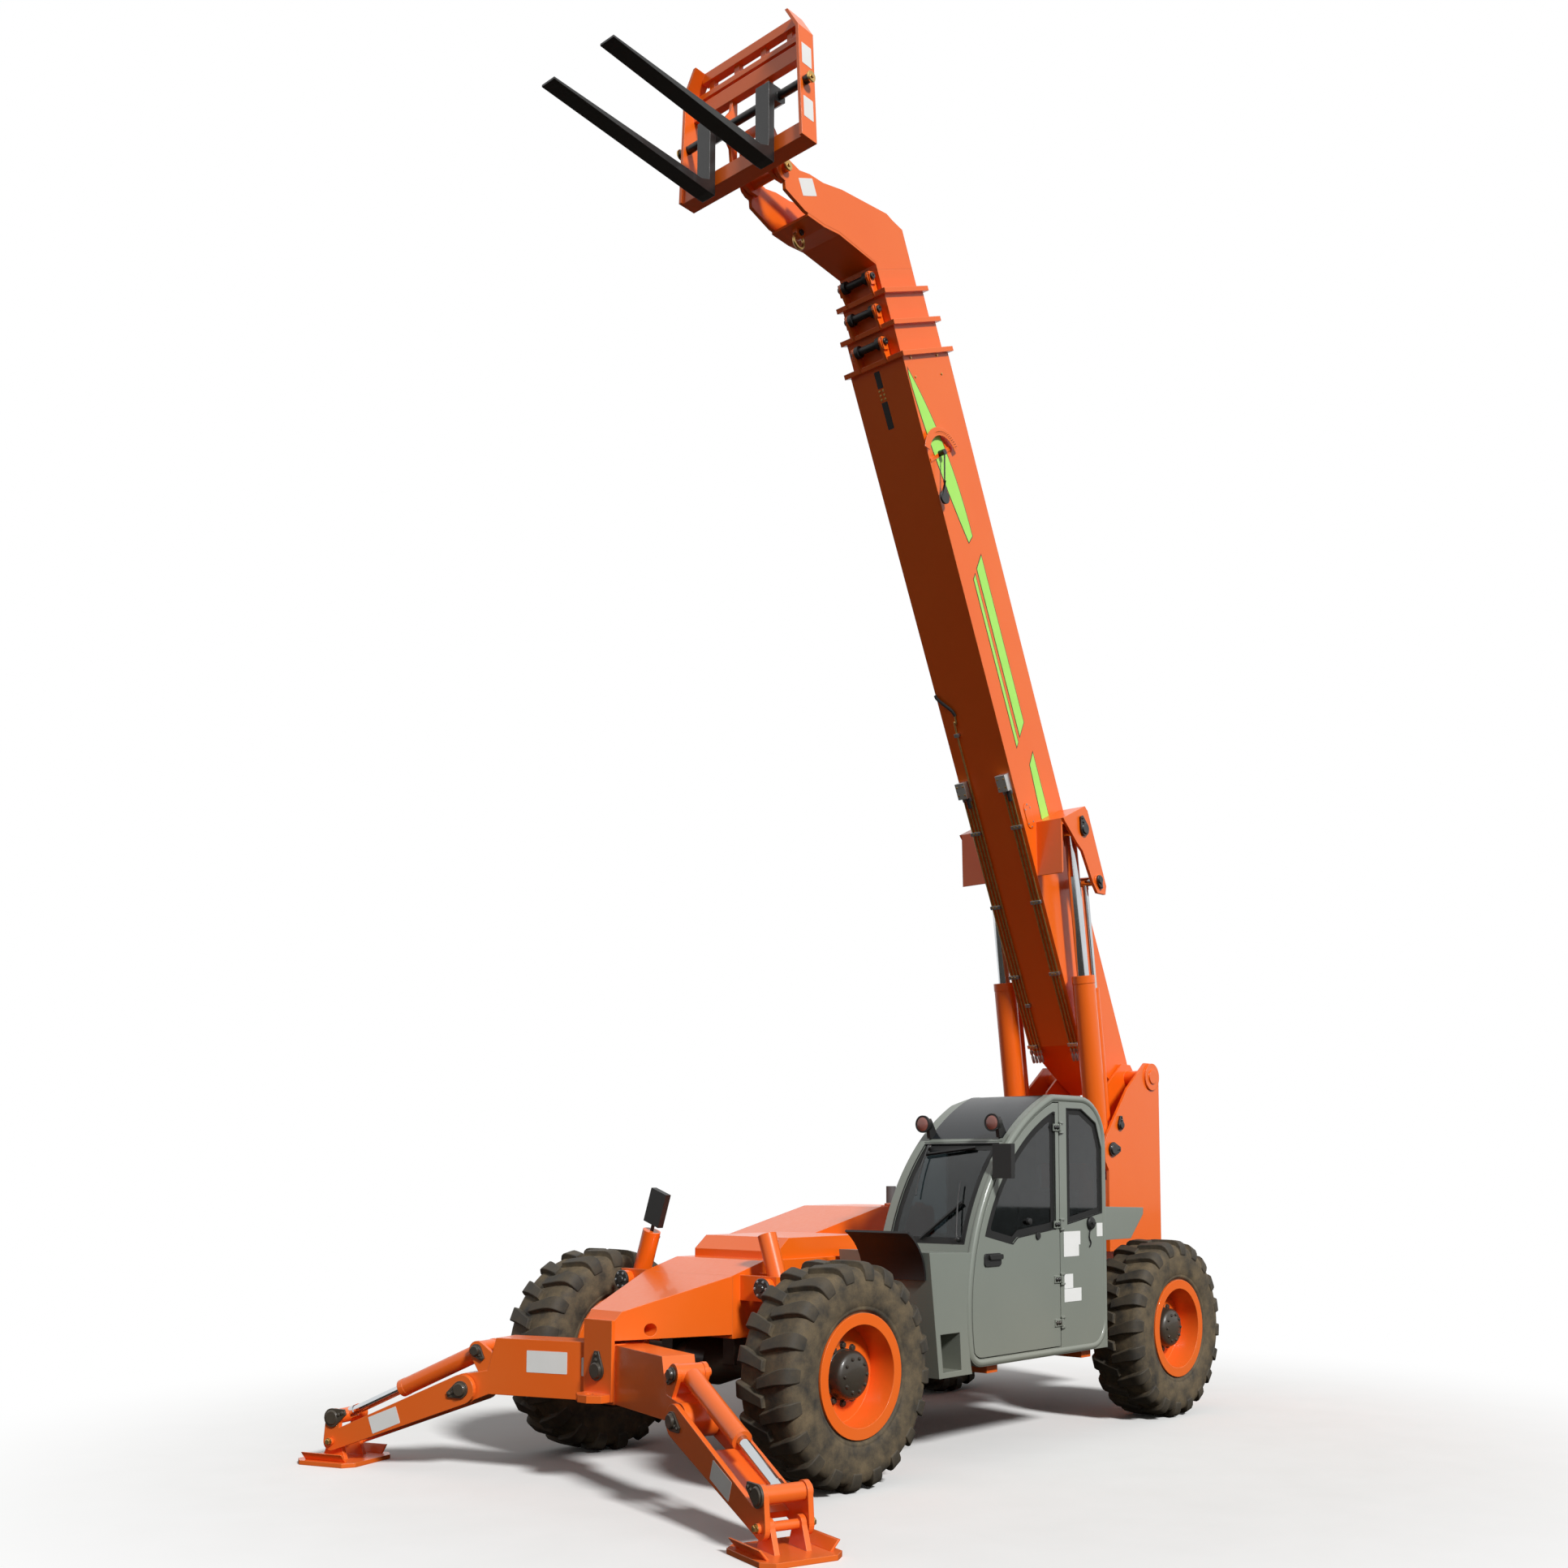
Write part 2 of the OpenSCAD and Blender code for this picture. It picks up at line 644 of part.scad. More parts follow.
// Ears under a head that hold its spool roller below the next section
function roller_at(k, x1) = [x1 + roller_out, low(k + 1) - roller_d / 2 - 10];
module roller_ears(k, x1) {
    at = roller_at(k, x1);
    both_sides() difference() {
        plate(
            concat(arc(at, roller_d / 2 - 3, -90, 90),
                [[x1 - collar_t, low(k + 1) - 4], [x1 - collar_t, low(k) - collar_h]]),
            [120, 140]
        );
        pin(at, [120 - eps, 140 + eps], roller_pin_d + 2 * seat_fit);
    }
}
module roller(k, x1) {
    at = roller_at(k, x1);
    pin(at, [-160, 160], roller_pin_d);
    pin(at, [-119, 119], roller_d * 0.62);
    both_sides() pin(at, [86, 119], roller_d);
}
module boom_base() {
    tail = 520;
    painted(orange) on_boom() difference() {
        union() {
            section(0, tail, boom_len);
            plate([
                [-130, 60], [-100, boom_high], [tail + eps, boom_high], [tail + eps, boom_low], [80, -230],
                [-110, -90]
            ], [-boom_half, boom_half]);
            roller_ears(0, boom_len);
            both_sides() lift_bracket();
        }
        pin([0, 0], [-boom_half - eps, boom_half + eps], pivot_d + 2 * pin_fit);
    }
}
// Cover and outer strip that hold the tops of the lift and slave rods
module lift_bracket() {
    y = [bracket_out, bracket_out + 25];
    plate([
        [2375, -330], [2398, -335], [2398, 20], [2350, 45], [1700, 45], [1640, 0], [1690, -110], [1790, -140],
        [2070, -175], [2160, -230]
    ], y);
    plate([
        [1990, -512], [2398, -335], [2398, 20], [2350, 45], [2320, 45], [2375, -5], [2375, -325], [2000, -490]
    ], [boom_half - eps, bracket_out + eps]);
    for (at = [lift_top, slave_top])
        pin(at, [bracket_out, bracket_out + 32], 90);
}
module boom_second() {
    painted(orange) on_boom() {
        section(1, 700, second_head);
        roller_ears(1, second_head);
    }
}
module boom_third() {
    painted(orange) on_boom() { section(2, 700 + tail_step, third_head); roller_ears(2, third_head); }
}
module boom_fly() {
    painted(orange) on_boom() difference() {
        section_box(3, [700 + 2 * tail_step, fly_head - 90]);
        section_box(3, [700 + 2 * tail_step - eps, fly_head - 110], -boom_wall);
    }
}
module rollers_base() { painted(black) on_boom() roller(0, boom_len); }
module rollers_second() { painted(black) on_boom() roller(1, second_head); }
module rollers_third() { painted(black) on_boom() roller(2, third_head); }

// Gooseneck: side outline from the fly section to the tilt pin
// A point of the gooseneck, along the boom from the fly section's head
function goose(along, up) = [fly_head + along, up];
goose_outline = concat(
    [goose(-90, high(3)), goose(-90, low(3)), goose(-35, low(3)), goose(178, -790), goose(229, -948)],
    [goose_tip + [-286, 107], goose_tip + [-140, -50]],
    arc(goose_tip, 92, -160, 40),
    [goose_tip + [-13, 168], goose_tip + [-35, 274], goose_tip + [-91, 410], goose_tip + [-133, 618]],
    [goose(311, -127), goose(262, -70), goose(195, high(3))]
);
module gooseneck() {
    painted(orange) on_boom() {
        both_sides() plate(goose_outline, [goose_half - goose_t, goose_half]);
        goose_web();
        pin(goose_tip, [-goose_half - 30, goose_half + 30], tilt_pin_d);
        pin(boom_to_goose(tilt_anchor), [-goose_half + eps, goose_half - eps], 60);
    }
}
// A point measured from the level tilt pin, in boom coordinates
function boom_to_goose(p) = goose_tip + [
    p[0] * cos(boom_angle) + p[1] * sin(boom_angle), -p[0] * sin(boom_angle) + p[1] * cos(boom_angle)
];
module goose_web() {
    t = 20;
    y = [-goose_half + eps, goose_half - eps];
    plate([goose(-90, high(3)), goose(-90, low(3)), goose(t - 90, low(3)), goose(t - 90, high(3))], y);
    plate([
        goose(-35, low(3)), goose(178, -790), goose(229, -948), goose(305, -1104), goose(287, -1112),
        goose(210, -956), goose(159, -798), goose(-50, low(3)), goose(-90, low(3)), goose(-90, low(3) + t),
        goose(-47, low(3) + t)
    ], y);
    plate([
        goose(262, -70), goose(195, high(3)), goose(-90, high(3)), goose(-90, high(3) - t),
            goose(185, high(3) - t),
        goose(245, -85), goose(291, -135), goose(405, -485), goose(424, -479), goose(311, -127)
    ], y);
}

// Carriage, drawn about the tilt pin with the forks level
module coupler() {
    inner = goose_half - goose_t - 12;
    painted(orange) on_tip() difference() {
        union() {
            both_sides() plate([
                [-40, -72], [40, -75], [carriage_back, -40], [carriage_back, 320], [95, 320], [20, 235],
                    [-10, 200],
                [-20, 150], [-74, 25]
            ], [inner - 28, inner]);
            block([carriage_back - 14, carriage_back], [-goose_half, goose_half], [240, 320]);
        }
        pin([0, 0], [-goose_half, goose_half], tilt_pin_d + 2 * pin_fit);
    }
}
module carriage_frame() {
    w = carriage_w / 2;
    top_w = w - 140;
    back = carriage_back;
    painted(orange) on_tip() difference() {
        union() {
            both_sides() intersection() {
                block([back, carriage_front], [top_w - 100, w], [carriage_low, carriage_top]);
                translate([back - eps, 0, 0]) rotate([90, 0, 90])
                    linear_extrude(carriage_depth + 2 * eps) polygon([
                    [w - plate_t, carriage_low], [w, carriage_low], [w - 40, carriage_top - 160],
                        [top_w, carriage_top],
                    [top_w - plate_t, carriage_top], [w - 40 - plate_t, carriage_top - 165]
                ]);
            }
            block([back, carriage_front - 20], [-w + plate_t - eps, w - plate_t + eps],
                [carriage_low, carriage_low + 110]);
            block([back, back + 60], [-w + 60, w - 60], [560, 670]);
            block([back, back + 60], [-w + 80, w - 80], [carriage_top - 190, carriage_top - 150]);
            block([back, back + 60], [-top_w, top_w], [carriage_top - 70, carriage_top]);
            for (y = [-380, -130, 130, 380])
                block([back, back + 40], [y - 25, y + 25], [660, carriage_top]);
            for (y = [-175, 175])
                plate([
                    [back, carriage_low], [back + 30, carriage_low], [back + 60, 200],
                        [carriage_front - 10, 300],
                    [carriage_front - 10, 370], [back + 60, 480], [back + 40, 620], [back, 620]
                ], [y - 14, y + 14]);
        }
        pin(shaft_at, [-w - 10, w + 10], shaft_d + 2 * seat_fit);
    }
}
module fork(y) {
    face = carriage_front + 6;
    half = fork_w / 2;
    plate([
        [face, fork_heel], [face + 60, fork_heel], [face + fork_len, fork_heel + 84],
            [face + fork_len, fork_heel + 98],
        [face + 130, fork_heel + fork_t + 12], [face + fork_t, fork_heel + fork_t + 40],
            [face + fork_t, shaft_at[1] + 45],
        [shaft_at[0] - 20, shaft_at[1] + 52], [shaft_at[0] - 52, shaft_at[1] + 20],
            [shaft_at[0] - 52, shaft_at[1] - 30],
        [shaft_at[0] - 20, shaft_at[1] - 52], [face, shaft_at[1] - 60]
    ], [y - half, y + half]);
}
module forks() {
    painted(black) on_tip() {
        for (y = [-fork_gap / 2, fork_gap / 2])
            fork(y);
        pin(shaft_at, [-carriage_w / 2 - 30, carriage_w / 2 + 30], shaft_d);
    }
}

// Cylinders
module lift_barrels() {
    painted(orange) both_sides() on_ram(lift_foot, boom_pt(lift_top), ram_y)
        ram_barrel(lift_barrel_len, lift_d, lift_rod_d, tower_gap - 2 * pin_fit, lift_pin_d, 150);
}
module lift_rods() {
    painted(chrome) both_sides() on_ram(lift_foot, boom_pt(lift_top), ram_y)
        translate([span(lift_foot, boom_pt(lift_top)), 0, 0])
            ram_rod(lift_rod_len, lift_rod_d, 140, tower_gap - 2 * pin_fit);
}
module slave_barrels() {
    painted(orange) both_sides() on_ram(slave_foot, boom_pt(slave_top), ram_y)
        ram_barrel(slave_barrel_len, slave_d, slave_rod_d, tower_gap - 2 * pin_fit, slave_pin_d, 100);
}
module slave_rods() {
    painted(chrome) both_sides() on_ram(slave_foot, boom_pt(slave_top), ram_y)
        translate([span(slave_foot, boom_pt(slave_top)), 0, 0])
            ram_rod(slave_rod_len, slave_rod_d, 80, tower_gap - 2 * pin_fit);
}
module tilt_barrel() {
    painted(orange) on_tip() on_ram(tilt_anchor, tilt_crank, 0)
        ram_barrel(tilt_barrel_len, tilt_d, tilt_rod_d, 2 * (goose_half - goose_t) - 40, 60, 110);
}
module tilt_rod() {
    painted(chrome) on_tip() on_ram(tilt_anchor, tilt_crank, 0)
        translate([span(tilt_anchor, tilt_crank), 0, 0])
        ram_rod(tilt_rod_len, tilt_rod_d, 90, 2 * (goose_half - goose_t - 40) - 2 * pin_fit);
}

// Outrigger legs
module leg(side) {
    end = leg_foot;
    painted(orange) on_leg(side) difference() {
        union() {
            both_sides() {
                plate(link([0, 0], 92, end, 58), [leg_in, leg_in + leg_t]);
                plate(link(end, 58, leg_rod_eye, 55), [leg_in, leg_in + leg_t]);
                pin(leg_rod_eye, [leg_in + leg_t, leg_in + leg_t + 12], 80);
            }
            along = unit(end);
            up = left_of(along);
            plate([
                along * 300 - up * 60, along * 920 - up * 56, along * 920 - up * 20, along * 300 - up * 20
            ], [-leg_in - eps, leg_in + eps]);
        }
        pin([0, 0], [-leg_in - leg_t - eps, leg_in + leg_t + eps], leg_pin_d + 2 * pin_fit);
        pin(end, [-leg_in - leg_t - eps, leg_in + leg_t + eps], foot_pin_d + 2 * pin_fit);
    }
}
module leg_barrel(side) {
    painted(orange) on_leg(side) on_ram(leg_cyl_top, leg_rod_eye, 0)
        ram_barrel(leg_barrel_len, leg_barrel_d, leg_rod_d, arm_w - 56 - 2 * pin_fit, leg_cyl_pin_d, 90);
}
module leg_rod(side) {
    painted(chrome) on_leg(side) on_ram(leg_cyl_top, leg_rod_eye, 0)
        translate([span(leg_cyl_top, leg_rod_eye), 0, 0])
            ram_rod(leg_rod_len, leg_rod_d, 90, 2 * leg_in - 2 * pin_fit);
}
module foot(side) {
    half = foot_w / 2;
    cut = half - foot_cut;
    painted(orange) on_leg(side) translate([leg_foot[0], 0, -leg_hinge_z]) {
        linear_extrude(28) polygon([
            [-half, -cut], [-cut, -half], [cut, -half], [half, -cut], [half, cut], [cut, half],
                [-cut, half], [-half, cut]
        ]);
        both_sides() plate(
            concat([[-95, 20], [95, 20]], arc([0, foot_pin_z], 45, 0, 180)), [leg_in - 34, leg_in - 4]
        );
        pin([0, foot_pin_z], [-leg_in - leg_t - 18, leg_in + leg_t + 18], foot_pin_d);
    }
}

// Cab
// Side outline of the cab moved inwards by t, between two Y values
module cab_side(t, y) {
    intersection() {
        plate(inset(cab_outline, t), y);
        pin(cab_arc_at, [y[0] - eps, y[1] + eps], 2 * (cab_arc_r - t), arc_sides);
    }
}
module cab_solid(t) {
    intersection() {
        cab_side(t, [0, 2 * cab_out]);
        linear_extrude(4000) polygon(inset(cab_plan, t));
    }
}
// Door leaf grown by a gap, through the wall
module door_shape(gap, y) {
    intersection() {
        cab_side(pillar - gap, y);
        block([door_rear + pillar - gap, cab_front], [y[0] - eps, y[1] + eps], [0, cab_roof]);
    }
}
module door_window(gap, y) {
    intersection() {
        cab_side(pillar + 62 + gap, y);
        plate(inset(door_sill, gap), [y[0] - eps, y[1] + eps]);
    }
}
quarter_pane = [
    [cab_rear + 60, 1575], [door_rear - 50, 1505], [door_rear - 50, cab_roof - 95], [1240, cab_roof - 95],
    [cab_rear + 130, cab_roof - 190], [cab_rear + 60, cab_roof - 370]
];
inner_pane = [[1830, 1420], [2390, 1420], [2130, 1960], [1830, 2120]];
pane_y = [cab_in + 75, cab_out - 75];
rear_pane_y = [cab_in_rear + 75, cab_out - 75];
screen_z = [1400, 2060];
roof_pane_x = [1290, 1985];
// Window openings through walls up to t deep, made smaller by a gap
module cab_windows(t, gap) {
    y = [pane_y[0] + gap, pane_y[1] - gap];
    block([2000, cab_front + eps], y, [screen_z[0] + gap, screen_z[1] - gap]);
    block([roof_pane_x[0] + gap, roof_pane_x[1] - gap], [y[0] + 60, y[1]],
        [screen_z[1] + 60, cab_roof + eps]);
    block(
        [cab_rear - t, cab_rear + t], [rear_pane_y[0] + gap, rear_pane_y[1] - gap],
        [1330 + gap, cab_roof - 480 - gap]
    );
    plate(inset(quarter_pane, gap), [cab_out - t, cab_out + t]);
    plate(inset(inner_pane, gap), [cab_in - t, cab_in + t]);
}
// Hinge lugs and pin on the door post, and the knuckle on the door between them
module door_lugs(z) {
    for (dz = [0, 68])
        translate([0, 0, z + dz]) linear_extrude(12) polygon(concat(
            [[door_axis[0] - 50, cab_out - eps], [door_axis[0] - 7, cab_out - eps]],
                arc(door_axis, 10, -20, 90),
            [[door_axis[0] - 50, cab_out + 10]]
        ));
    translate([door_axis[0], door_axis[1], z]) cylinder(h = 80, d = door_pin_d);
}
module door_knuckle(z) {
    difference() {
        union() {
            translate([door_axis[0], door_axis[1], z + 15]) cylinder(h = 50, d = 22);
            block([door_axis[0] + 4, door_axis[0] + 80], [cab_out - eps, cab_out + 9], [z + 15, z + 65]);
        }
        translate([door_axis[0], door_axis[1], z]) cylinder(h = 80, d = door_pin_d + 2 * pin_fit);
    }
}
module cab_frame() {
    painted(grey) {
        difference() {
            cab_solid(0);
            cab_solid(cab_wall);
            cab_windows(cab_wall + 20, 0);
            door_shape(door_gap, [cab_out - cab_wall - eps, cab_out + eps]);
        }
        for (z = door_hinges) door_lugs(z);
    }
}
module cab_glass() {
    painted(smoke) intersection() {
        cab_windows(cab_wall, seat_fit);
        difference() {
            cab_solid(10);
            cab_solid(10 + glass_t);
        }
    }
}
module door_panel() {
    painted(grey) {
        difference() {
            door_shape(0, [cab_out - door_t, cab_out]);
            door_window(0, [cab_out - door_t - eps, cab_out + eps]);
        }
        for (z = door_hinges) door_knuckle(z);
    }
}
module door_glass() {
    painted(smoke) door_window(seat_fit, [cab_out - 10 - glass_t, cab_out - 10]);
}
module cab_interior() {
    y = (cab_in + cab_out) / 2 + 60;
    floor_z = cab_floor + cab_wall;
    painted(black) {
        block([1250, 1650], [y - 170, y + 170], [floor_z, floor_z + 330]);
        block([1200, 1720], [y - 250, y + 250], [floor_z + 330, floor_z + 450]);
        plate([[1190, floor_z + 440], [1310, floor_z + 440], [1220, floor_z + 1080],
            [1130, floor_z + 1080]], [y - 230, y + 230]);
        block([1800, 2250], [cab_in + cab_wall, cab_in + cab_wall + 150], [floor_z, floor_z + 560]);
        plate([[2180, floor_z], [2330, floor_z], [2130, floor_z + 650], [2060, floor_z + 620]],
            [y - 60, y + 60]);
        translate([2060, y, floor_z + 690]) rotate([0, -25, 0]) {
            rotate_extrude() translate([185, 0]) circle(d = 30);
            cylinder(h = 60, d = 60, center = true);
            for (a = [90, 210, 330]) rotate([0, 0, a]) block([0, 180], [-14, 14], [-8, 8]);
        }
    }
}
// Point of the step box's leaning front at a height
function on_step_front(z) = [cab_front + step_d + tan(step_lean) * (z - step_low), z];
step_profile = [
    [cab_front - 132, step_low], on_step_front(step_low), on_step_front(step_top + 20),
        [cab_front - 132, step_top]
];
rear_fender_profile = [
    [cab_rear, 1372], [cab_rear, 1614], [40, 1590], [40, 1560], [370, 1566], [573, 1372]
];
module cab_step_and_fender() {
    painted(grey) {
        difference() {
            plate(step_profile, [step_in, step_out]);
            pin(cab_arc_at, [step_in - eps, step_out + eps], 2 * (cab_arc_r + seat_fit), arc_sides);
            plate([
                [cab_front + 0.225 * step_d, 600], on_step_front(600) - [0.15 * step_d, 0],
                on_step_front(840) - [0.15 * step_d, 0], [cab_front + 0.275 * step_d, 840]
            ], [step_out - 260, step_out + eps]);
        }
        intersection() {
            difference() {
                plate([for (i = [5 : -1 : 0]) rear_fender_profile[i]], [cab_in_rear + 60, cab_out]);
                plate(
                    [[60, 1200], [cab_rear - 20, 1200], [cab_rear - 20, 1594], [60, 1572]],
                    [cab_in_rear + 60 - eps, cab_out - 20]
                );
            }
            linear_extrude(3000) polygon([
                [0, cab_in_rear], [cab_rear, cab_in_rear], [cab_rear, cab_out], [387, cab_out],
                    [40, cab_out - 200]
            ]);
        }
    }
}
// Curved guard behind the front tyre, on top of the step box
guard_r = 357;
guard_at = on_step_front(1184) + [guard_r / cos(step_lean) + seat_fit, 0];
module front_fender() {
    y = [646, cab_out - 40];
    painted(black) intersection() {
        difference() {
            pin(guard_at, y, 2 * guard_r, arc_sides);
            pin(guard_at, [y[0] - eps, y[1] + eps], 2 * guard_r - 28, arc_sides);
        }
        plate([
            guard_at, [guard_at[0] - 600, guard_at[1]], [guard_at[0] - 600, 1497], [guard_at[0] - 172, 1497]
        ], [y[0] - eps, y[1] + eps]);
    }
}

// Engine pod
module pod_box(t, z) { block([pod_rear + t, pod_rear + pod_len - t], [-cab_out + t, -pod_in - t], z); }
// Hinge lugs and pin on the housing's inner wall, and the knuckle on the hood between them
module hood_lugs(x) {
    at = hood_hinge;
    for (dx = [0, 72])
        translate([x + dx, 0, 0]) rotate([90, 0, 90]) linear_extrude(12) polygon(concat(
            [[-pod_in, pod_top - eps], [-pod_in, at[1]]], arc(at, 12, 60, 200),
            [[-pod_hood_in + pin_fit, pod_top + 2], [-pod_hood_in + pin_fit, pod_top - eps]]
        ));
    translate([x, at[0], at[1]]) rotate([0, 90, 0]) cylinder(h = 84, d = hood_pin_d);
}
module hood_knuckle(x) {
    at = hood_hinge;
    difference() {
        union() {
            translate([x + 17, at[0], at[1]]) rotate([0, 90, 0]) cylinder(h = 50, d = 24);
            block([x + 17, x + 67], [at[0] - 60, at[0]], [pod_top - eps, pod_top + 8]);
        }
        translate([x, at[0], at[1]]) rotate([0, 90, 0]) cylinder(h = 84, d = hood_pin_d + 2 * pin_fit);
    }
}
module engine_housing() {
    wall = pod_wall;
    painted(orange) {
        for (x = hood_hinge_x) hood_lugs(x);
        difference() {
            pod_box(0, [cab_floor, pod_seam - pin_fit]);
            pod_box(wall, [cab_floor + wall, pod_seam]);
            for (x = [pod_rear + 200 : 110 : pod_rear + pod_len - 870])
                block([x, x + 60], [-cab_out - eps, -cab_out + wall + eps], [780, 1120]);
        }
        plate(concat(
            [[pod_rear, pod_seam - pin_fit - eps], [pod_rear + pod_len, pod_seam - pin_fit - eps]],
            [for (i = [1 : 5]) pod_profile[i]]
        ), [-pod_in - pod_inner_t, -pod_in]);
    }
}
module engine_block() {
    z = cab_floor + pod_wall;
    painted("#55585a") {
        block([pod_rear + 220, pod_rear + pod_len - 520], [-1050, -580], [z, z + 520]);
        block([pod_rear + 330, pod_rear + pod_len - 640], [-960, -680], [z + 520, z + 660]);
    }
}
module engine_hood() {
    w = pod_wall;
    painted(orange) {
        difference() {
            plate(pod_profile, [-cab_out, -pod_hood_in]);
            plate(
                concat([[pod_rear + w, pod_seam - 50], [pod_rear + pod_len - w, pod_seam - 50]],
                    [for (i = [1 : 5]) inset(pod_profile, w)[i]]),
                [-cab_out + w, -pod_hood_in + eps]
            );
        }
        for (x = hood_hinge_x) hood_knuckle(x);
    }
}

// Lamps, mirrors and exhaust
module lamp(y) {
    top = cab_arc_at + cab_arc_r * [cos(50), sin(50)];
    difference() {
        plate([top + [-30, -40], top + [70, -40], top + [100, 100], top + [60, 100]], [y - 14, y + 14]);
        pin(cab_arc_at, [y - 20, y + 20], 2 * (cab_arc_r + seat_fit), arc_sides);
    }
    translate([top[0] + 72, y, top[1] + 60]) rotate([0, 90, 0]) cylinder(h = 70, d1 = 80, d2 = 120);
}
module mirror_head(x, y, z) { block([x, x + 45], [y, y + 150], [z - 115, z + 115]); }
module lamps_and_mirrors() {
    painted(black) {
        for (y = [cab_in + 90, cab_out - 90])
            lamp(y);
        block([2140, 2330], [cab_out, cab_out + 20], [2028, 2044]);
        mirror_head(2312, cab_out + 12, 1940);
        translate([sway_x, -sway_foot[0], sway_foot[1]]) rotate([sway_lean, 0, 0])
            translate([0, 0, sway_reach]) {
            cylinder(h = 60, d = 24);
            mirror_head(-20, -75, 160);
        }
    }
}
module exhaust() {
    at = [pod_rear - 50, -900];
    painted(black) difference() {
        union() {
            translate([at[0], at[1], 1150]) cylinder(h = 600, d = exhaust_d);
            block([at[0], pod_rear], [at[1] - 30, at[1] + 30], [1160, 1230]);
        }
        translate([at[0], at[1], 1300]) cylinder(h = 600, d = exhaust_d - 12);
    }
}

main_frame();
boom_towers();
front_nose();
outrigger_arms();
front_axle();
rear_axle();
sway_cylinders();
cab_frame();
cab_glass();
cab_interior();
cab_step_and_fender();
front_fender();
door_panel();
door_glass();
engine_housing();
engine_block();
engine_hood();
exhaust();
lamps_and_mirrors();
knuckle(wheelbase, 1);  // knuckle_fl
knuckle(wheelbase, -1);  // knuckle_fr
knuckle(0, 1);  // knuckle_rl
knuckle(0, -1);  // knuckle_rr
tyre(wheelbase, 1);  // tyre_fl
tyre(wheelbase, -1);  // tyre_fr
tyre(0, 1);  // tyre_rl
tyre(0, -1);  // tyre_rr
rim(wheelbase, 1);  // rim_fl
rim(wheelbase, -1);  // rim_fr
rim(0, 1);  // rim_rl
rim(0, -1);  // rim_rr
boom_base();
boom_second();
boom_third();
boom_fly();
gooseneck();
rollers_base();
rollers_second();
rollers_third();
coupler();
carriage_frame();
forks();
lift_barrels();
lift_rods();
slave_barrels();
slave_rods();
tilt_barrel();
tilt_rod();
leg(1);  // leg_left
leg(-1);  // leg_right
leg_barrel(1);  // leg_barrel_left
leg_barrel(-1);  // leg_barrel_right
leg_rod(1);  // leg_rod_left
leg_rod(-1);  // leg_rod_right
foot(1);  // foot_left
foot(-1);  // foot_right
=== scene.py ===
# %% [markdown]
# # Dressing a telehandler
# The imported model gives the machine's real sizes, bodies and joints. This lesson loads it as a fixed
# frame and adds what the eye looks for on the real machine: paint, rubber, chrome, tinted glass, lugged
# tyres, hydraulic lines, seals, bolts and a padded seat. Nothing in the frame is moved. The machine steers,
# lifts, telescopes and folds its outriggers, and every new piece rides on one of its bodies.

# %% Load the frame
import json

import bmesh
import bpy
import numpy as np
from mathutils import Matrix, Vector


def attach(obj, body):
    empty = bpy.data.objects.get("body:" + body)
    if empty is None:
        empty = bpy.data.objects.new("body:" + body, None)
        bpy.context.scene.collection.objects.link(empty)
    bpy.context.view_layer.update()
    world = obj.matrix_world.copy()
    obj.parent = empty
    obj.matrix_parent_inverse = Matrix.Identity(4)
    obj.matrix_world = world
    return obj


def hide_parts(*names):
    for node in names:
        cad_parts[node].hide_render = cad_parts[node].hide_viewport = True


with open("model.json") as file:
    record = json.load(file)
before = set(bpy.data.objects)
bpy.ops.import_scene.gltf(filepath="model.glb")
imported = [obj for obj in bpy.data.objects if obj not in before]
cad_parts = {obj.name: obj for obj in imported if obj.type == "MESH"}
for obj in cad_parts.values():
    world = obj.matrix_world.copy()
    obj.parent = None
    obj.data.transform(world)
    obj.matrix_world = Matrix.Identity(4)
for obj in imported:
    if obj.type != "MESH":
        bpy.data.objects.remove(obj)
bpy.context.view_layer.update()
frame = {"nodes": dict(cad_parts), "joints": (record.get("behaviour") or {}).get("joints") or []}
nodes = frame["nodes"]
joints = {joint["name"]: joint for joint in frame["joints"]}

# %% [markdown]
# Sizes on a machine drawing are in millimetres and Blender works in metres, so one factor turns them.
# A body that swings needs its own ruler: the boom lies at an angle, and it is much easier to say "two
# metres up the boom, on its left face" than to work out X and Z each time. The boom's ruler is read from
# its lift joint and from the direction in which its sections slide.

# %% Rulers of the machine and of the boom
MM = 0.001
X, Y, Z = np.eye(3)
# The two sides of a piece, as signs.
SIDES = (-1, 1)
PIVOT = np.array(joints["boom_lift"]["pos_m"])
ALONG = -np.array(joints["extend_second"]["axis"])
ABOVE = np.array([-ALONG[2], 0, ALONG[0]])


def on_boom(along, out, up):
    """A point, or an array of points, at mm along the boom, out to its left and up from its pivot."""
    along, out, up = np.broadcast_arrays(along, out, up)
    return PIVOT + MM * (along[..., None] * ALONG + out[..., None] * Y + up[..., None] * ABOVE)


def reach(node, direction, origin=PIVOT):
    """Lowest and highest mm that a CAD node reaches along a direction, measured from an origin."""
    points = np.empty(3 * len(nodes[node].data.vertices))
    nodes[node].data.vertices.foreach_get("co", points)
    along = (points.reshape(-1, 3) - origin) @ direction / MM
    return along.min(), along.max()


print("the boom's base section ends", round(reach("boom_base", ALONG)[1]), "mm from the pivot")

# %% [markdown]
# New pieces are surfaces on a grid: one array of points with two directions, and quads between
# neighbours. Modelling by hand in the viewport would work too, but arrays keep every size in sight and
# make a hundred bolts as easy as one. The helpers below put such arrays into a mesh object, give it a
# finish, and fasten it to the body that carries it.

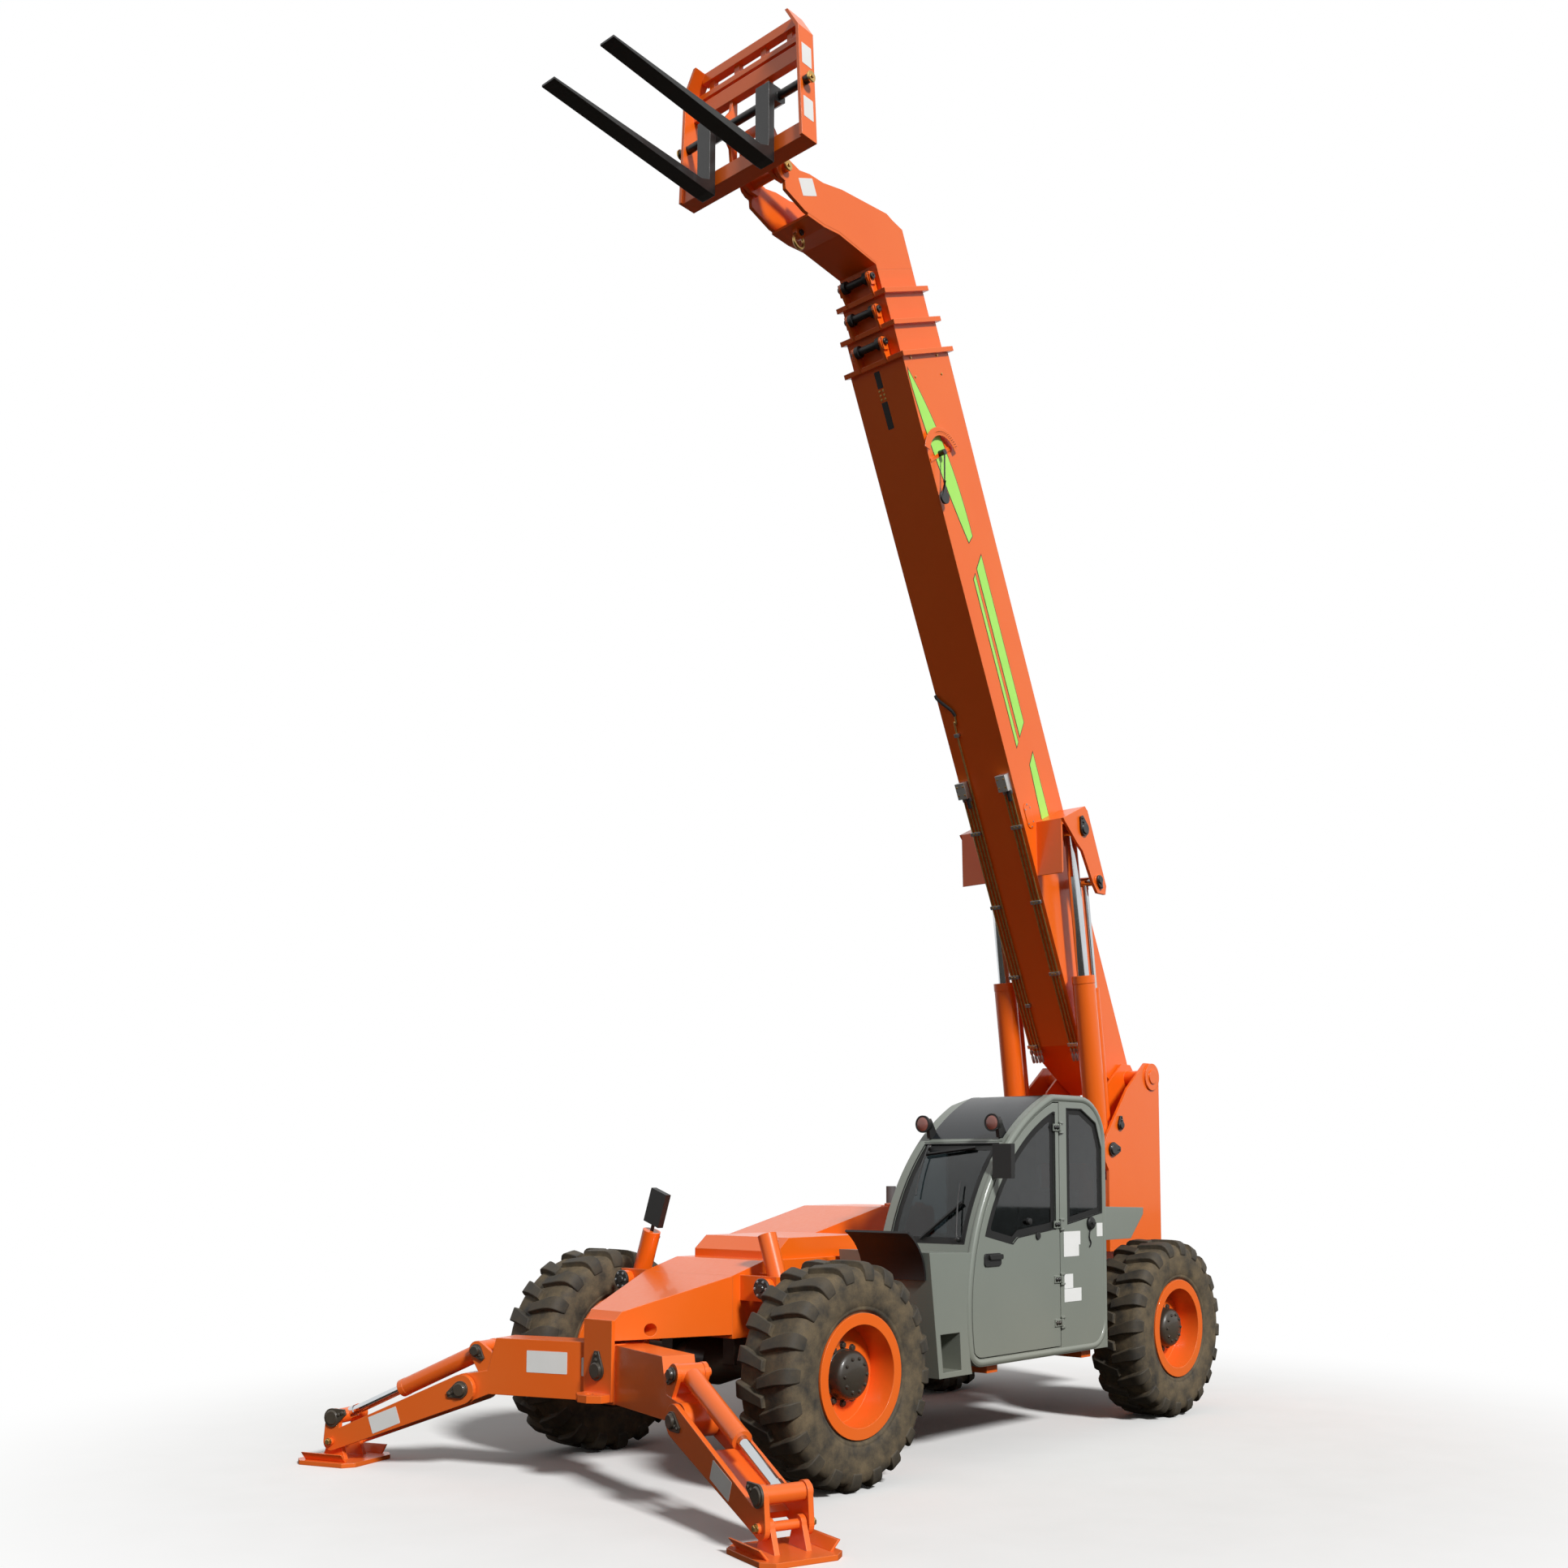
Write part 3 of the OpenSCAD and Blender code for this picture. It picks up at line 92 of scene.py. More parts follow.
# %% Meshes from arrays
def grid_faces(rows, columns, around=False, closed=False):
    """Quads between neighbouring points of a grid, joined at the column seam or the row seam if asked."""
    r = np.arange(rows if closed else rows - 1)[:, None]
    c = np.arange(columns if around else columns - 1)[None, :]
    r2, c2 = (r + 1) % rows, (c + 1) % columns
    quads = np.stack([r * columns + c, r * columns + c2, r2 * columns + c2, r2 * columns + c], -1)
    return quads.reshape(-1, 4)


def make_piece(name, points, faces, finish, body, slot, smooth=35, bevel=0, marks=None):
    """One object from points and faces, poles closed, faces turned outwards, riding on a body."""
    mesh = bpy.data.meshes.new(name)
    mesh.from_pydata(np.asarray(points).reshape(-1, 3).tolist(), [], [tuple(f) for f in faces])
    for mark, values in (marks or {}).items():
        mesh.attributes.new(mark, "FLOAT", "POINT").data.foreach_set("value", np.asarray(values, np.float32))
    shell = bmesh.new()
    shell.from_mesh(mesh)
    bmesh.ops.remove_doubles(shell, verts=shell.verts, dist=0.01 * MM)
    bmesh.ops.recalc_face_normals(shell, faces=shell.faces)
    shell.to_mesh(mesh)
    shell.free()
    if smooth:
        mesh.polygons.foreach_set("use_smooth", np.ones(len(mesh.polygons), bool))
        mesh.set_sharp_from_angle(angle=np.radians(smooth))
    piece = bpy.data.objects.new(name, mesh)
    bpy.context.scene.collection.objects.link(piece)
    piece.data.materials.append(finish)
    if bevel:
        edge = piece.modifiers.new("rounded edges", "BEVEL")
        edge.width, edge.segments, edge.limit_method = bevel * MM, 2, "ANGLE"
    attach(piece, body)
    return piece


def joined(shapes):
    """Several (points, faces) shapes as one, each shape's faces counted on from the points before it."""
    shapes = list(shapes)
    starts = np.cumsum([0] + [len(points) for points, _ in shapes])
    faces = [tuple(int(i) + int(s) for i in f) for (_, fs), s in zip(shapes, starts) for f in fs]
    return np.concatenate([points for points, _ in shapes]), faces


print("a grid of 3 by 4 points has", len(grid_faces(3, 4)), "quads")

# %% [markdown]
# Most fittings are turned on a lathe or drawn as bar and tube. A turned one is a profile of radius and
# height about an axis. A drawn one is a section carried along a path, and a path can be smoothed through
# a few points. Both come out as grids, so the same quads serve them.

# %% Turned and drawn forms
def axes_about(axis):
    """Two directions square to an axis and to each other."""
    axis = np.asarray(axis, float) / np.linalg.norm(axis)
    side = np.cross(axis, Z if abs(axis[2]) < 0.9 else X)
    side = side / np.linalg.norm(side)
    return side, np.cross(axis, side)


def revolved(profile, centre, axis, steps=48):
    """A profile of (radius, height) mm turned about an axis: centre + radius around + height along."""
    radius, height = MM * np.asarray(profile, float).T
    axis = np.asarray(axis, float) / np.linalg.norm(axis)
    u, v = axes_about(axis)
    turn = np.linspace(0, 2 * np.pi, steps, endpoint=False)[None, :, None]
    ring = np.cos(turn) * u + np.sin(turn) * v
    points = np.asarray(centre) + radius[:, None, None] * ring + height[:, None, None] * axis
    faces = [tuple(f) for f in grid_faces(len(radius), steps, around=True)]
    ends = [tuple(range(steps))[::-1], tuple(range((len(radius) - 1) * steps, len(radius) * steps))]
    return points.reshape(-1, 3), faces + [end for end, r in zip(ends, radius[[0, -1]]) if r > 0]


def swept(profile, path, up=Z, closed=False):
    """A closed profile of (side, up) mm carried along a path, upright where the path allows it."""
    path, profile = np.asarray(path, float), MM * np.asarray(profile, float)
    ahead = np.gradient(path, axis=0) if not closed else np.roll(path, -1, 0) - np.roll(path, 1, 0)
    ahead /= np.linalg.norm(ahead, axis=1, keepdims=True)
    side = np.cross(ahead, up)
    side /= np.linalg.norm(side, axis=1, keepdims=True)
    over = np.cross(side, ahead)
    points = path[:, None] + profile[None, :, :1] * side[:, None] + profile[None, :, 1:] * over[:, None]
    n, m = len(path), len(profile)
    faces = [tuple(f)[::-1] for f in grid_faces(n, m, around=True, closed=closed)]
    ends = [] if closed else [tuple(range(m)), tuple(range((n - 1) * m, n * m))[::-1]]
    return points.reshape(-1, 3), faces + ends


def circle(d, steps=12):
    """Points of a circle of diameter d mm, counter-clockwise."""
    turn = np.linspace(0, 2 * np.pi, steps, endpoint=False)
    return np.stack([np.cos(turn), np.sin(turn)], 1) * d / 2


def smooth_path(points, steps=8):
    """A curve through every point: each stretch is the cubic that leaves and meets its neighbours' lines."""
    p = np.asarray(points, float)
    p = np.concatenate([2 * p[:1] - p[1:2], p, 2 * p[-1:] - p[-2:-1]])
    t = np.linspace(0, 1, steps, endpoint=False)[None, :, None]
    a, b, c, d = (p[i : len(p) - 3 + i, None] for i in range(4))
    curve = b + t / 2 * (c - a + t * (2 * a - 5 * b + 4 * c - d + t * (3 * (b - c) + d - a)))
    return np.concatenate([curve.reshape(-1, 3), p[-2:-1]])


print("a turned disc has", len(revolved([(10, 0), (10, 5)], (0, 0, 0), Z)[1]), "faces")

# %% [markdown]
# Plates are cut from sheet: an outline in two directions, thickened along the third. Bolts and screws
# come in dozens, so one small head is worked out once and stamped at many places by one array product.

# %% Plates, bolts and copies
def slab(outline, corner, u, v, thickness):
    """A flat plate: an outline in mm along u and v from a corner, thickened along u cross v."""
    outline = MM * np.asarray(outline, float)
    u, v = np.asarray(u, float), np.asarray(v, float)
    base = np.asarray(corner) + outline[:, :1] * u + outline[:, 1:] * v
    n = len(base)
    points = np.concatenate([base, base + MM * thickness * np.cross(u, v)])
    faces = [tuple(f) for f in grid_faces(2, n, around=True)]
    return points, faces + [tuple(range(n))[::-1], tuple(range(n, 2 * n))]


def box_outline(w, h, r=0, steps=5):
    """A w by h mm rectangle about its middle, its corners rounded by arcs of radius r."""
    turn = np.linspace(0, np.pi / 2, steps if r else 1)[None, :] + np.arange(4)[:, None] * np.pi / 2
    centre = np.array([[1, 1], [-1, 1], [-1, -1], [1, -1]]) * (np.array([w, h]) / 2 - r)
    return (centre[:, None] + r * np.stack([np.cos(turn), np.sin(turn)], -1)).reshape(-1, 2)


def stamped(template, places, facing):
    """Copies of a small shape whose own Z faces out: place + x side + y across + z facing, all at once."""
    points, faces = template
    places, facing = np.broadcast_arrays(np.atleast_2d(places), np.atleast_2d(facing))
    facing = facing / np.linalg.norm(facing, axis=1, keepdims=True)
    helper = np.where(np.abs(facing[:, 2:]) < 0.9, Z, X)
    side = np.cross(helper, facing)
    side /= np.linalg.norm(side, axis=1, keepdims=True)
    turn = np.stack([side, np.cross(facing, side), facing], 1)
    moved = np.einsum("pi,kij->kpj", points, turn) + places[:, None]
    shift = len(points) * np.arange(len(places))
    return moved.reshape(-1, 3), [tuple(i + s for i in f) for s in shift for f in faces]


def bolt_head(d):
    """A hexagon head on a washer for a thread of d mm: two rings of the washer, then three of the hexagon."""
    washer = revolved([(1.1 * d, 0), (1.1 * d, 0.18 * d)], (0, 0, 0), Z, 12)
    head = revolved([(0.92 * d, 0.18 * d), (0.92 * d, 0.7 * d), (0.75 * d, 0.85 * d)], (0, 0, 0), Z, 6)
    return joined([washer, head])


print("one bolt head has", len(bolt_head(16)[1]), "faces")

# %% [markdown]
# A material is a small graph. One helper adds a node, sets it and links it, so each finish below reads
# as a recipe. Colours are written as the sRGB values that a paint chart or a colour picker gives, and one
# function turns them into the linear light that the renderer adds up.

# %% Colours and nodes
def rgb(code):
    """Linear red, green, blue and alpha of an sRGB hex colour: the low end is straight, the rest a power."""
    s = np.array([int(code[i : i + 2], 16) for i in (1, 3, 5)]) / 255
    return (*np.where(s <= 0.04045, s / 12.92, ((s + 0.055) / 1.055) ** 2.4), 1)


def add(tree, kind, inputs=None, **settings):
    """A node of a kind with its settings, and each named input given a value or a link."""
    node = tree.nodes.new("ShaderNode" + kind)
    for key, value in settings.items():
        setattr(node, key, value)
    for key, value in (inputs or {}).items():
        if isinstance(value, bpy.types.NodeSocket):
            tree.links.new(value, node.inputs[key])
        else:
            node.inputs[key].default_value = value
    return node


def new_finish(name, **constants):
    """An empty material with one principled shader, its constants on the shader's own sockets."""
    material = bpy.data.materials.new(name)
    material.use_nodes = True
    tree = material.node_tree
    tree.nodes.clear()
    shader = add(tree, "BsdfPrincipled", {k.replace("_", " "): v for k, v in constants.items()})
    add(tree, "OutputMaterial", {"Surface": shader.outputs[0]})
    place = add(tree, "TexCoord").outputs["Object"]
    return material, tree, shader, place


def per_mm(size):
    """Texture scale at which a pattern repeats about every so many millimetres."""
    return 1 / (size * MM)


print("mid grey in linear light:", round(float(rgb("#808080")[0]), 3))

# %% [markdown]
# The machine is sprayed with gloss enamel over primed and welded plate. Up close such paint has three
# things: broad fading from the sun, an orange-peel ripple that breaks up its reflections, and soft
# highlights along every folded or ground edge. The Bevel node rounds the normals at edges without
# touching the mesh, and the change it makes also tells where an edge is, so the paint can rub thin there.
# Site dust gathers on what lies low. One recipe serves orange, grey and black, as one spray gun does.

# %% Sprayed enamel
def sprayed_enamel(name, fresh, faded, edge, roughness, dust):
    """Gloss enamel: faded in broad patches, rubbed at edges, dusty near the ground, rippled like peel."""
    paint, tree, shader, place = new_finish(name, IOR=1.45, Coat_Weight=0.2, Coat_Roughness=0.06)
    # Patches of about 700 mm for fading, and 30 mm for the film's own unevenness.
    broad = add(tree, "TexNoise", {"Vector": place, "Scale": per_mm(700), "Detail": 4.0})
    fine = add(tree, "TexNoise", {"Vector": place, "Scale": per_mm(30), "Detail": 6.0})
    tone = add(
        tree, "Mix", {"Factor": broad.outputs[0], "A": rgb(fresh), "B": rgb(faded)}, data_type="RGBA"
    )
    rounded = add(tree, "Bevel", {"Radius": 6 * MM}, samples=4)
    flat = add(tree, "NewGeometry").outputs["Normal"]
    turn = add(tree, "VectorMath", {0: rounded.outputs[0], 1: flat}, operation="DOT_PRODUCT")
    rub = add(
        tree, "MapRange", {"Value": turn.outputs["Value"], "From Min": 0.97, "From Max": 0.8, "To Max": 0.5}
    )
    worn = add(tree, "Math", {0: rub.outputs[0], 1: fine.outputs[0]}, operation="MULTIPLY")
    edged = add(
        tree,
        "Mix",
        {"Factor": worn.outputs[0], "A": tone.outputs["Result"], "B": rgb(edge)},
        data_type="RGBA",
    )
    height = add(tree, "SeparateXYZ", {"Vector": place}).outputs["Z"]
    low = add(tree, "MapRange", {"Value": height, "From Min": 1.3, "From Max": 0.1, "To Max": dust})
    film = add(tree, "Math", {0: low.outputs[0], 1: broad.outputs[0]}, operation="MULTIPLY")
    dusty = add(
        tree,
        "Mix",
        {"Factor": film.outputs[0], "A": edged.outputs["Result"], "B": rgb("#a08c70")},
        data_type="RGBA",
    )
    tree.links.new(dusty.outputs["Result"], shader.inputs["Base Color"])
    rough = add(
        tree,
        "MapRange",
        {"Value": fine.outputs[0], "To Min": roughness - 0.05, "To Max": roughness + 0.1},
    )
    tree.links.new(rough.outputs[0], shader.inputs["Roughness"])
    # Orange peel is really 2 to 3 mm wide; it is drawn at 9 mm so that it shows at this distance.
    peel = add(tree, "TexNoise", {"Vector": place, "Scale": per_mm(9), "Detail": 1.0})
    bump = add(
        tree,
        "Bump",
        {"Height": peel.outputs[0], "Strength": 0.06, "Distance": MM, "Normal": rounded.outputs[0]},
    )
    tree.links.new(bump.outputs[0], shader.inputs["Normal"])
    tree.links.new(rounded.outputs[0], shader.inputs["Coat Normal"])
    return paint


orange_enamel = sprayed_enamel("sprayed_orange_enamel", "#f0620a", "#f67018", "#ffa868", 0.3, 0.2)
grey_enamel = sprayed_enamel("sprayed_grey_enamel", "#7c8279", "#878d84", "#a9aea4", 0.34, 0.35)
black_enamel = sprayed_enamel("sprayed_black_enamel", "#141414", "#1e1e1d", "#4a4a48", 0.36, 0.4)
print("enamels:", orange_enamel.name, grey_enamel.name, black_enamel.name)

# %% [markdown]
# Tyres are black rubber only when new. On site the sidewalls turn grey-brown with dried mud, the sides
# of the lugs keep it longest, and only the tops that meet the ground stay dark. The tyre mesh carries an
# attribute that says how far a point stands up from the carcass, and the recipe spreads mud by it.

# %% Moulded tyre rubber
def moulded_rubber():
    """Rubber under dried mud: mud thins out where the tread attribute nears 1, the worn lug top."""
    rubber, tree, shader, place = new_finish("moulded_tyre_rubber", Specular_IOR_Level=0.3)
    up = add(tree, "Attribute", attribute_name="tread").outputs["Fac"]
    clods = add(tree, "TexNoise", {"Vector": place, "Scale": per_mm(110), "Detail": 8.0, "Roughness": 0.6})
    grit = add(tree, "TexNoise", {"Vector": place, "Scale": per_mm(7), "Detail": 4.0})
    cover = add(tree, "MapRange", {"Value": clods.outputs[0], "From Min": 0.3, "From Max": 0.72})
    kept = add(tree, "MapRange", {"Value": up, "To Min": 0.95, "To Max": 0.3})
    mud = add(tree, "Math", {0: cover.outputs[0], 1: kept.outputs[0]}, operation="MULTIPLY")
    earth = add(
        tree,
        "Mix",
        {"Factor": grit.outputs[0], "A": rgb("#6d5d45"), "B": rgb("#8c7b5f")},
        data_type="RGBA",
    )
    skin = add(
        tree,
        "Mix",
        {"Factor": mud.outputs[0], "A": rgb("#33312d"), "B": earth.outputs["Result"]},
        data_type="RGBA",
    )
    tree.links.new(skin.outputs["Result"], shader.inputs["Base Color"])
    matt = add(tree, "MapRange", {"Value": mud.outputs[0], "To Min": 0.62, "To Max": 0.95})
    tree.links.new(matt.outputs[0], shader.inputs["Roughness"])
    bump = add(tree, "Bump", {"Height": grit.outputs[0], "Strength": 0.35, "Distance": 1.5 * MM})
    tree.links.new(bump.outputs[0], shader.inputs["Normal"])
    return rubber


tyre_rubber = moulded_rubber()
print("tyre rubber reads the attribute tread")

# %% [markdown]
# Cylinder rods are ground steel with hard chrome on them, so they mirror the surroundings in long
# streaks. Pins, bolts and pressure tubes are zinc plated with a yellow passivation, which shifts between
# straw and brass. Valve blocks are milled aluminium. All are metals: they keep the
# default IOR and take their colour from the reflection itself.

# %% Plated and milled metals
def plated_metal(name, light, dark, roughness, blotch, lines):
    """A metal whose tint wanders over blotches, with streaks along Z drawn as stretched noise."""
    metal, tree, shader, place = new_finish(name, Metallic=1.0)
    patch = add(tree, "TexNoise", {"Vector": place, "Scale": per_mm(blotch), "Detail": 3.0})
    tint = add(
        tree, "Mix", {"Factor": patch.outputs[0], "A": rgb(light), "B": rgb(dark)}, data_type="RGBA"
    )
    tree.links.new(tint.outputs["Result"], shader.inputs["Base Color"])
    fine = add(tree, "Mapping", {"Vector": place, "Scale": (per_mm(lines), per_mm(lines), per_mm(6 * lines))})
    streak = add(tree, "TexNoise", {"Vector": fine.outputs[0], "Scale": 1.0, "Detail": 2.0})
    rough = add(
        tree, "MapRange", {"Value": streak.outputs[0], "To Min": 0.6 * roughness, "To Max": 1.5 * roughness}
    )
    tree.links.new(rough.outputs[0], shader.inputs["Roughness"])
    return metal


chrome = plated_metal("ground_hard_chrome", "#dfe2e4", "#b9bec2", 0.09, 300, 4)
yellow_zinc = plated_metal("yellow_zinc_plating", "#d9b878", "#a98548", 0.3, 25, 3)
bright_zinc = plated_metal("bright_zinc_plating", "#c9ccce", "#8f9396", 0.3, 20, 3)
milled_aluminium = plated_metal("milled_aluminium", "#d4d5d3", "#b3b4b2", 0.36, 40, 2)
print("metals:", chrome.name, yellow_zinc.name, bright_zinc.name, milled_aluminium.name)

# %% [markdown]
# What the hand and foot meet is moulded: ABS mirror shells and lamp bodies, EPDM window seals, rubber
# hoses, vinyl on the seat. Such plastics are eroded to a fine grain in the mould so that scuffs don't
# show. They differ in gloss and grain size more than in colour.

# %% Moulded plastics and rubber
def moulded_grain(name, base, worn, roughness, grain, depth, specular=0.4):
    """A moulded skin: cells of a given grain pressed in to a depth, with worn patches between them."""
    skin, tree, shader, place = new_finish(name, Specular_IOR_Level=specular)
    cell = add(tree, "TexVoronoi", {"Vector": place, "Scale": per_mm(grain)}, feature="SMOOTH_F1")
    wear = add(tree, "TexNoise", {"Vector": place, "Scale": per_mm(160), "Detail": 5.0})
    tone = add(
        tree, "Mix", {"Factor": wear.outputs[0], "A": rgb(base), "B": rgb(worn)}, data_type="RGBA"
    )
    tree.links.new(tone.outputs["Result"], shader.inputs["Base Color"])
    rough = add(tree, "MapRange", {"Value": wear.outputs[0], "To Min": roughness, "To Max": roughness + 0.18})
    tree.links.new(rough.outputs[0], shader.inputs["Roughness"])
    bump = add(tree, "Bump", {"Height": cell.outputs[0], "Strength": 0.3, "Distance": depth * MM})
    tree.links.new(bump.outputs[0], shader.inputs["Normal"])
    return skin


black_abs = moulded_grain("moulded_black_abs", "#151515", "#242423", 0.38, 6, 0.4)
seal_rubber = moulded_grain("extruded_epdm_seal", "#0d0d0d", "#1a1a19", 0.55, 9, 0.3)
hose_rubber = moulded_grain("wrapped_hose_rubber", "#121211", "#23211e", 0.6, 5, 0.6)
seat_vinyl = moulded_grain("embossed_seat_vinyl", "#191919", "#272625", 0.5, 4, 0.5)
roof_glass = moulded_grain("tinted_polycarbonate_sheet", "#14181c", "#1b2126", 0.12, 30, 0.1, 0.5)
cast_iron = moulded_grain("painted_cast_iron", "#4b4e50", "#5d5f60", 0.55, 5, 0.8)
vinyl_film = moulded_grain("cut_vinyl_film", "#a4ea5e", "#b4f272", 0.3, 20, 0.1)
dark_film = moulded_grain("dark_vinyl_film", "#20261c", "#2a3024", 0.3, 20, 0.1)
white_film = moulded_grain("white_vinyl_film", "#e6e6e2", "#f0f0ee", 0.35, 20, 0.1)
print("moulded:", [m.name for m in (black_abs, seal_rubber, hose_rubber, seat_vinyl, cast_iron)])

# %% [markdown]
# The cab is glazed with toughened tinted glass, and the roof with tinted polycarbonate. Glass needs real
# transmission: light is coloured on its way through, and the outer face mirrors the surroundings.
# Dust wiped by the blade leaves faint streaks, which are a small change of tint and of roughness.

# %% Tinted glass, mirror and lens
def toughened_glass(name, tint, roughness):
    """Clear tinted pane: full transmission, with wiped dust as a small wander of tint and roughness."""
    glass, tree, shader, place = new_finish(name, Transmission_Weight=1.0, IOR=1.5)
    wiped = add(tree, "TexNoise", {"Vector": place, "Scale": per_mm(240), "Detail": 6.0, "Distortion": 1.5})
    tone = add(
        tree, "Mix", {"Factor": wiped.outputs[0], "A": rgb(tint), "B": rgb("#6f7a7c")}, data_type="RGBA"
    )
    tree.links.new(tone.outputs["Result"], shader.inputs["Base Color"])
    rough = add(tree, "MapRange", {"Value": wiped.outputs[0], "To Min": 0.0, "To Max": roughness})
    tree.links.new(rough.outputs[0], shader.inputs["Roughness"])
    return glass


tinted_glass = toughened_glass("toughened_tinted_glass", "#4d585c", 0.05)
lamp_lens = moulded_grain("moulded_lamp_lens", "#8a5148", "#b07a70", 0.15, 14, 1.5, 0.6)
mirror_glass = plated_metal("silvered_mirror_glass", "#e4e6e6", "#d3d6d7", 0.03, 200, 9)
print("glazing:", tinted_glass.name, lamp_lens.name, mirror_glass.name)

# %% [markdown]
# Now every part of the frame gets its finish. The list reads as the paint shop's order: which sub-parts
# leave the booth in orange, which in grey, and which come from suppliers already black, chromed or
# moulded.

# %% Finish every part of the frame
FINISHES = {
    orange_enamel: "main_frame boom_towers front_nose outrigger_arms engine_housing engine_hood boom_base "
    "boom_second boom_third boom_fly gooseneck coupler carriage_frame lift_barrels slave_barrels tilt_barrel "
    "leg_left leg_right leg_barrel_left leg_barrel_right foot_left foot_right sway_cylinders "
    "rim_fl rim_fr rim_rl rim_rr",
    grey_enamel: "cab_frame cab_step_and_fender door_panel",
    black_enamel: "front_axle rear_axle knuckle_fl knuckle_fr knuckle_rl knuckle_rr forks",
    chrome: "lift_rods slave_rods tilt_rod leg_rod_left leg_rod_right",
    black_abs: "front_fender lamps_and_mirrors rollers_base rollers_second rollers_third",
    tyre_rubber: "tyre_fl tyre_fr tyre_rl tyre_rr",
    tinted_glass: "cab_glass door_glass",
    seat_vinyl: "cab_interior",
    cast_iron: "engine_block exhaust",
}
for finish, names in FINISHES.items():
    for node in names.split():
        nodes[node].data.materials.clear()
        nodes[node].data.materials.append(finish)
bare = set(nodes) - set(" ".join(FINISHES.values()).split())
print("finished parts:", len(nodes) - len(bare), "left bare:", sorted(bare))

# %% [markdown]
# A tyre of this size is moulded in one piece: a rounded carcass that carries two rows of slanted lugs.
# The rows are half a pitch apart, and the outer end of each lug trails behind, which throws mud out
# sideways. The carcass is a profile turned about the axle. A lug is a bar with nine stations from the
# middle of the tread over the shoulder and down the sidewall. All forty bars come from one array.

# %% Carcass and lugs
SPIN = {c: np.array(joints["spin_" + c]["pos_m"]) for c in ("fl", "fr", "rl", "rr")}
# Profiles are (radius, out from the tyre's middle) in mm, lug angles are in degrees.
CARCASS = np.array(
    [(322.4, 186.5), (374.5, 186.5), (377, 191), (386, 203), (396, 206), (406, 205), (416, 211)]
    + [(450, 216), (500, 218), (545, 216.5), (580, 210), (606, 199), (624, 179), (634, 150)]
    + [(638, 80), (640, 0)]
)
LUG_TOP = np.array(
    [(672, -18), (672, 40), (672, 100), (671, 140), (666, 172), (652, 196), (625, 212)]
    + [(590, 220), (560, 221.5)]
)
LUG_BASE = np.array(
    [(632, -18), (632, 40), (630, 96), (626, 132), (616, 160), (604, 180), (590, 192)]
    + [(570, 200), (550, 206)]
)
LUG_TRAIL = np.array([0.2, 1.8, 3.5, 4.4, 5.0, 5.3, 5.5, 5.6, 5.6])
LUG_HALF = np.array([2.7, 2.9, 3.3, 3.7, 3.9, 4.0, 4.0, 3.9, 3.4])
LUGS, LUG_FLARE = 20, 0.8


def tread_bars(out):
    """Bars at angle lug - trail, a half width to each side: radius (sin, cos) in X and Z, and mm outwards."""
    lug = np.arange(2 * LUGS)[:, None, None] * 180 / LUGS
    row = np.where(np.arange(2 * LUGS) % 2, -1, 1)[:, None, None]
    across = np.stack([-LUG_HALF, LUG_HALF, LUG_HALF + LUG_FLARE, -LUG_HALF - LUG_FLARE], 1)
    turn = np.radians(lug - LUG_TRAIL[:, None] + across)
    radius = np.stack([LUG_TOP[:, 0]] * 2 + [LUG_BASE[:, 0]] * 2, 1)
    width = row * np.stack([LUG_TOP[:, 1]] * 2 + [LUG_BASE[:, 1]] * 2, 1)
    points = radius[..., None] * (np.sin(turn)[..., None] * X + np.cos(turn)[..., None] * Z)
    points = MM * (points + width[..., None] * out)
    n = len(LUG_TOP)
    one = [tuple(f) for f in grid_faces(n, 4, around=True)] + [(0, 1, 2, 3), tuple(range(4 * n - 4, 4 * n))]
    faces = [tuple(i + 4 * n * k for i in f) for k in range(2 * LUGS) for f in one]
    return points.reshape(-1, 3), faces, np.tile([1.0, 1.0, 0.0, 0.0], 2 * LUGS * n)


print("points on the bars of a tyre:", len(tread_bars(Y)[0]))

# %% [markdown]
# Each tyre is its carcass and its bars in one mesh. The carcass runs from bead to bead, mirrored at the
# middle, and closes on itself. The bars differ only in which way is out. A bevel rounds the lugs as the
# mould does, and the attribute for the mud goes along with the points.

# %% Four lugged tyres
TYRE_STEPS, CARCASS_TREAD = 96, 0.2
for corner, centre in SPIN.items():
    out = np.sign(centre[1]) * Y
    profile = np.concatenate([CARCASS, CARCASS[-2::-1] * [1, -1]])
    body, _ = revolved(profile, centre, out, TYRE_STEPS)
    loop = [tuple(f) for f in grid_faces(len(profile), TYRE_STEPS, around=True, closed=True)]
    bars, bar_faces, mark = tread_bars(out)
    points, faces = joined([(body, loop), (bars + centre, bar_faces)])
    mark = np.concatenate([np.full(len(body), CARCASS_TREAD), mark])
    tyre = make_piece(
        f"lugged_tyre_{corner}",
        points,
        faces,
        tyre_rubber,
        f"wheel_{corner}",
        "tyre_rubber",
        smooth=40,
        bevel=5,
        marks={"tread": mark},
    )
    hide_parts("tyre_" + corner)
print("lugs on a tyre:", 2 * LUGS, "faces before rounding:", len(tyre.data.polygons))

# %% [markdown]
# The dish of the rim is a plain pressing, and what catches the eye in it is the planetary hub: a black
# turned cover, a ring of wheel nuts around it and a smaller ring of cover screws. A turned part is a
# profile about the axle, and a ring of nuts is one small shape stamped at many places.

# %% Hubs and wheel nuts
HUB = [(152, 49), (152, 60), (145, 64), (145, 122), (136, 140), (120, 152), (70, 160), (56, 163), (0, 163)]
NUTS, NUT_RING, NUT_FACE = 12, 170, 48
COVER_SCREWS, SCREW_RING, SCREW_FACE = 10, 100, 155


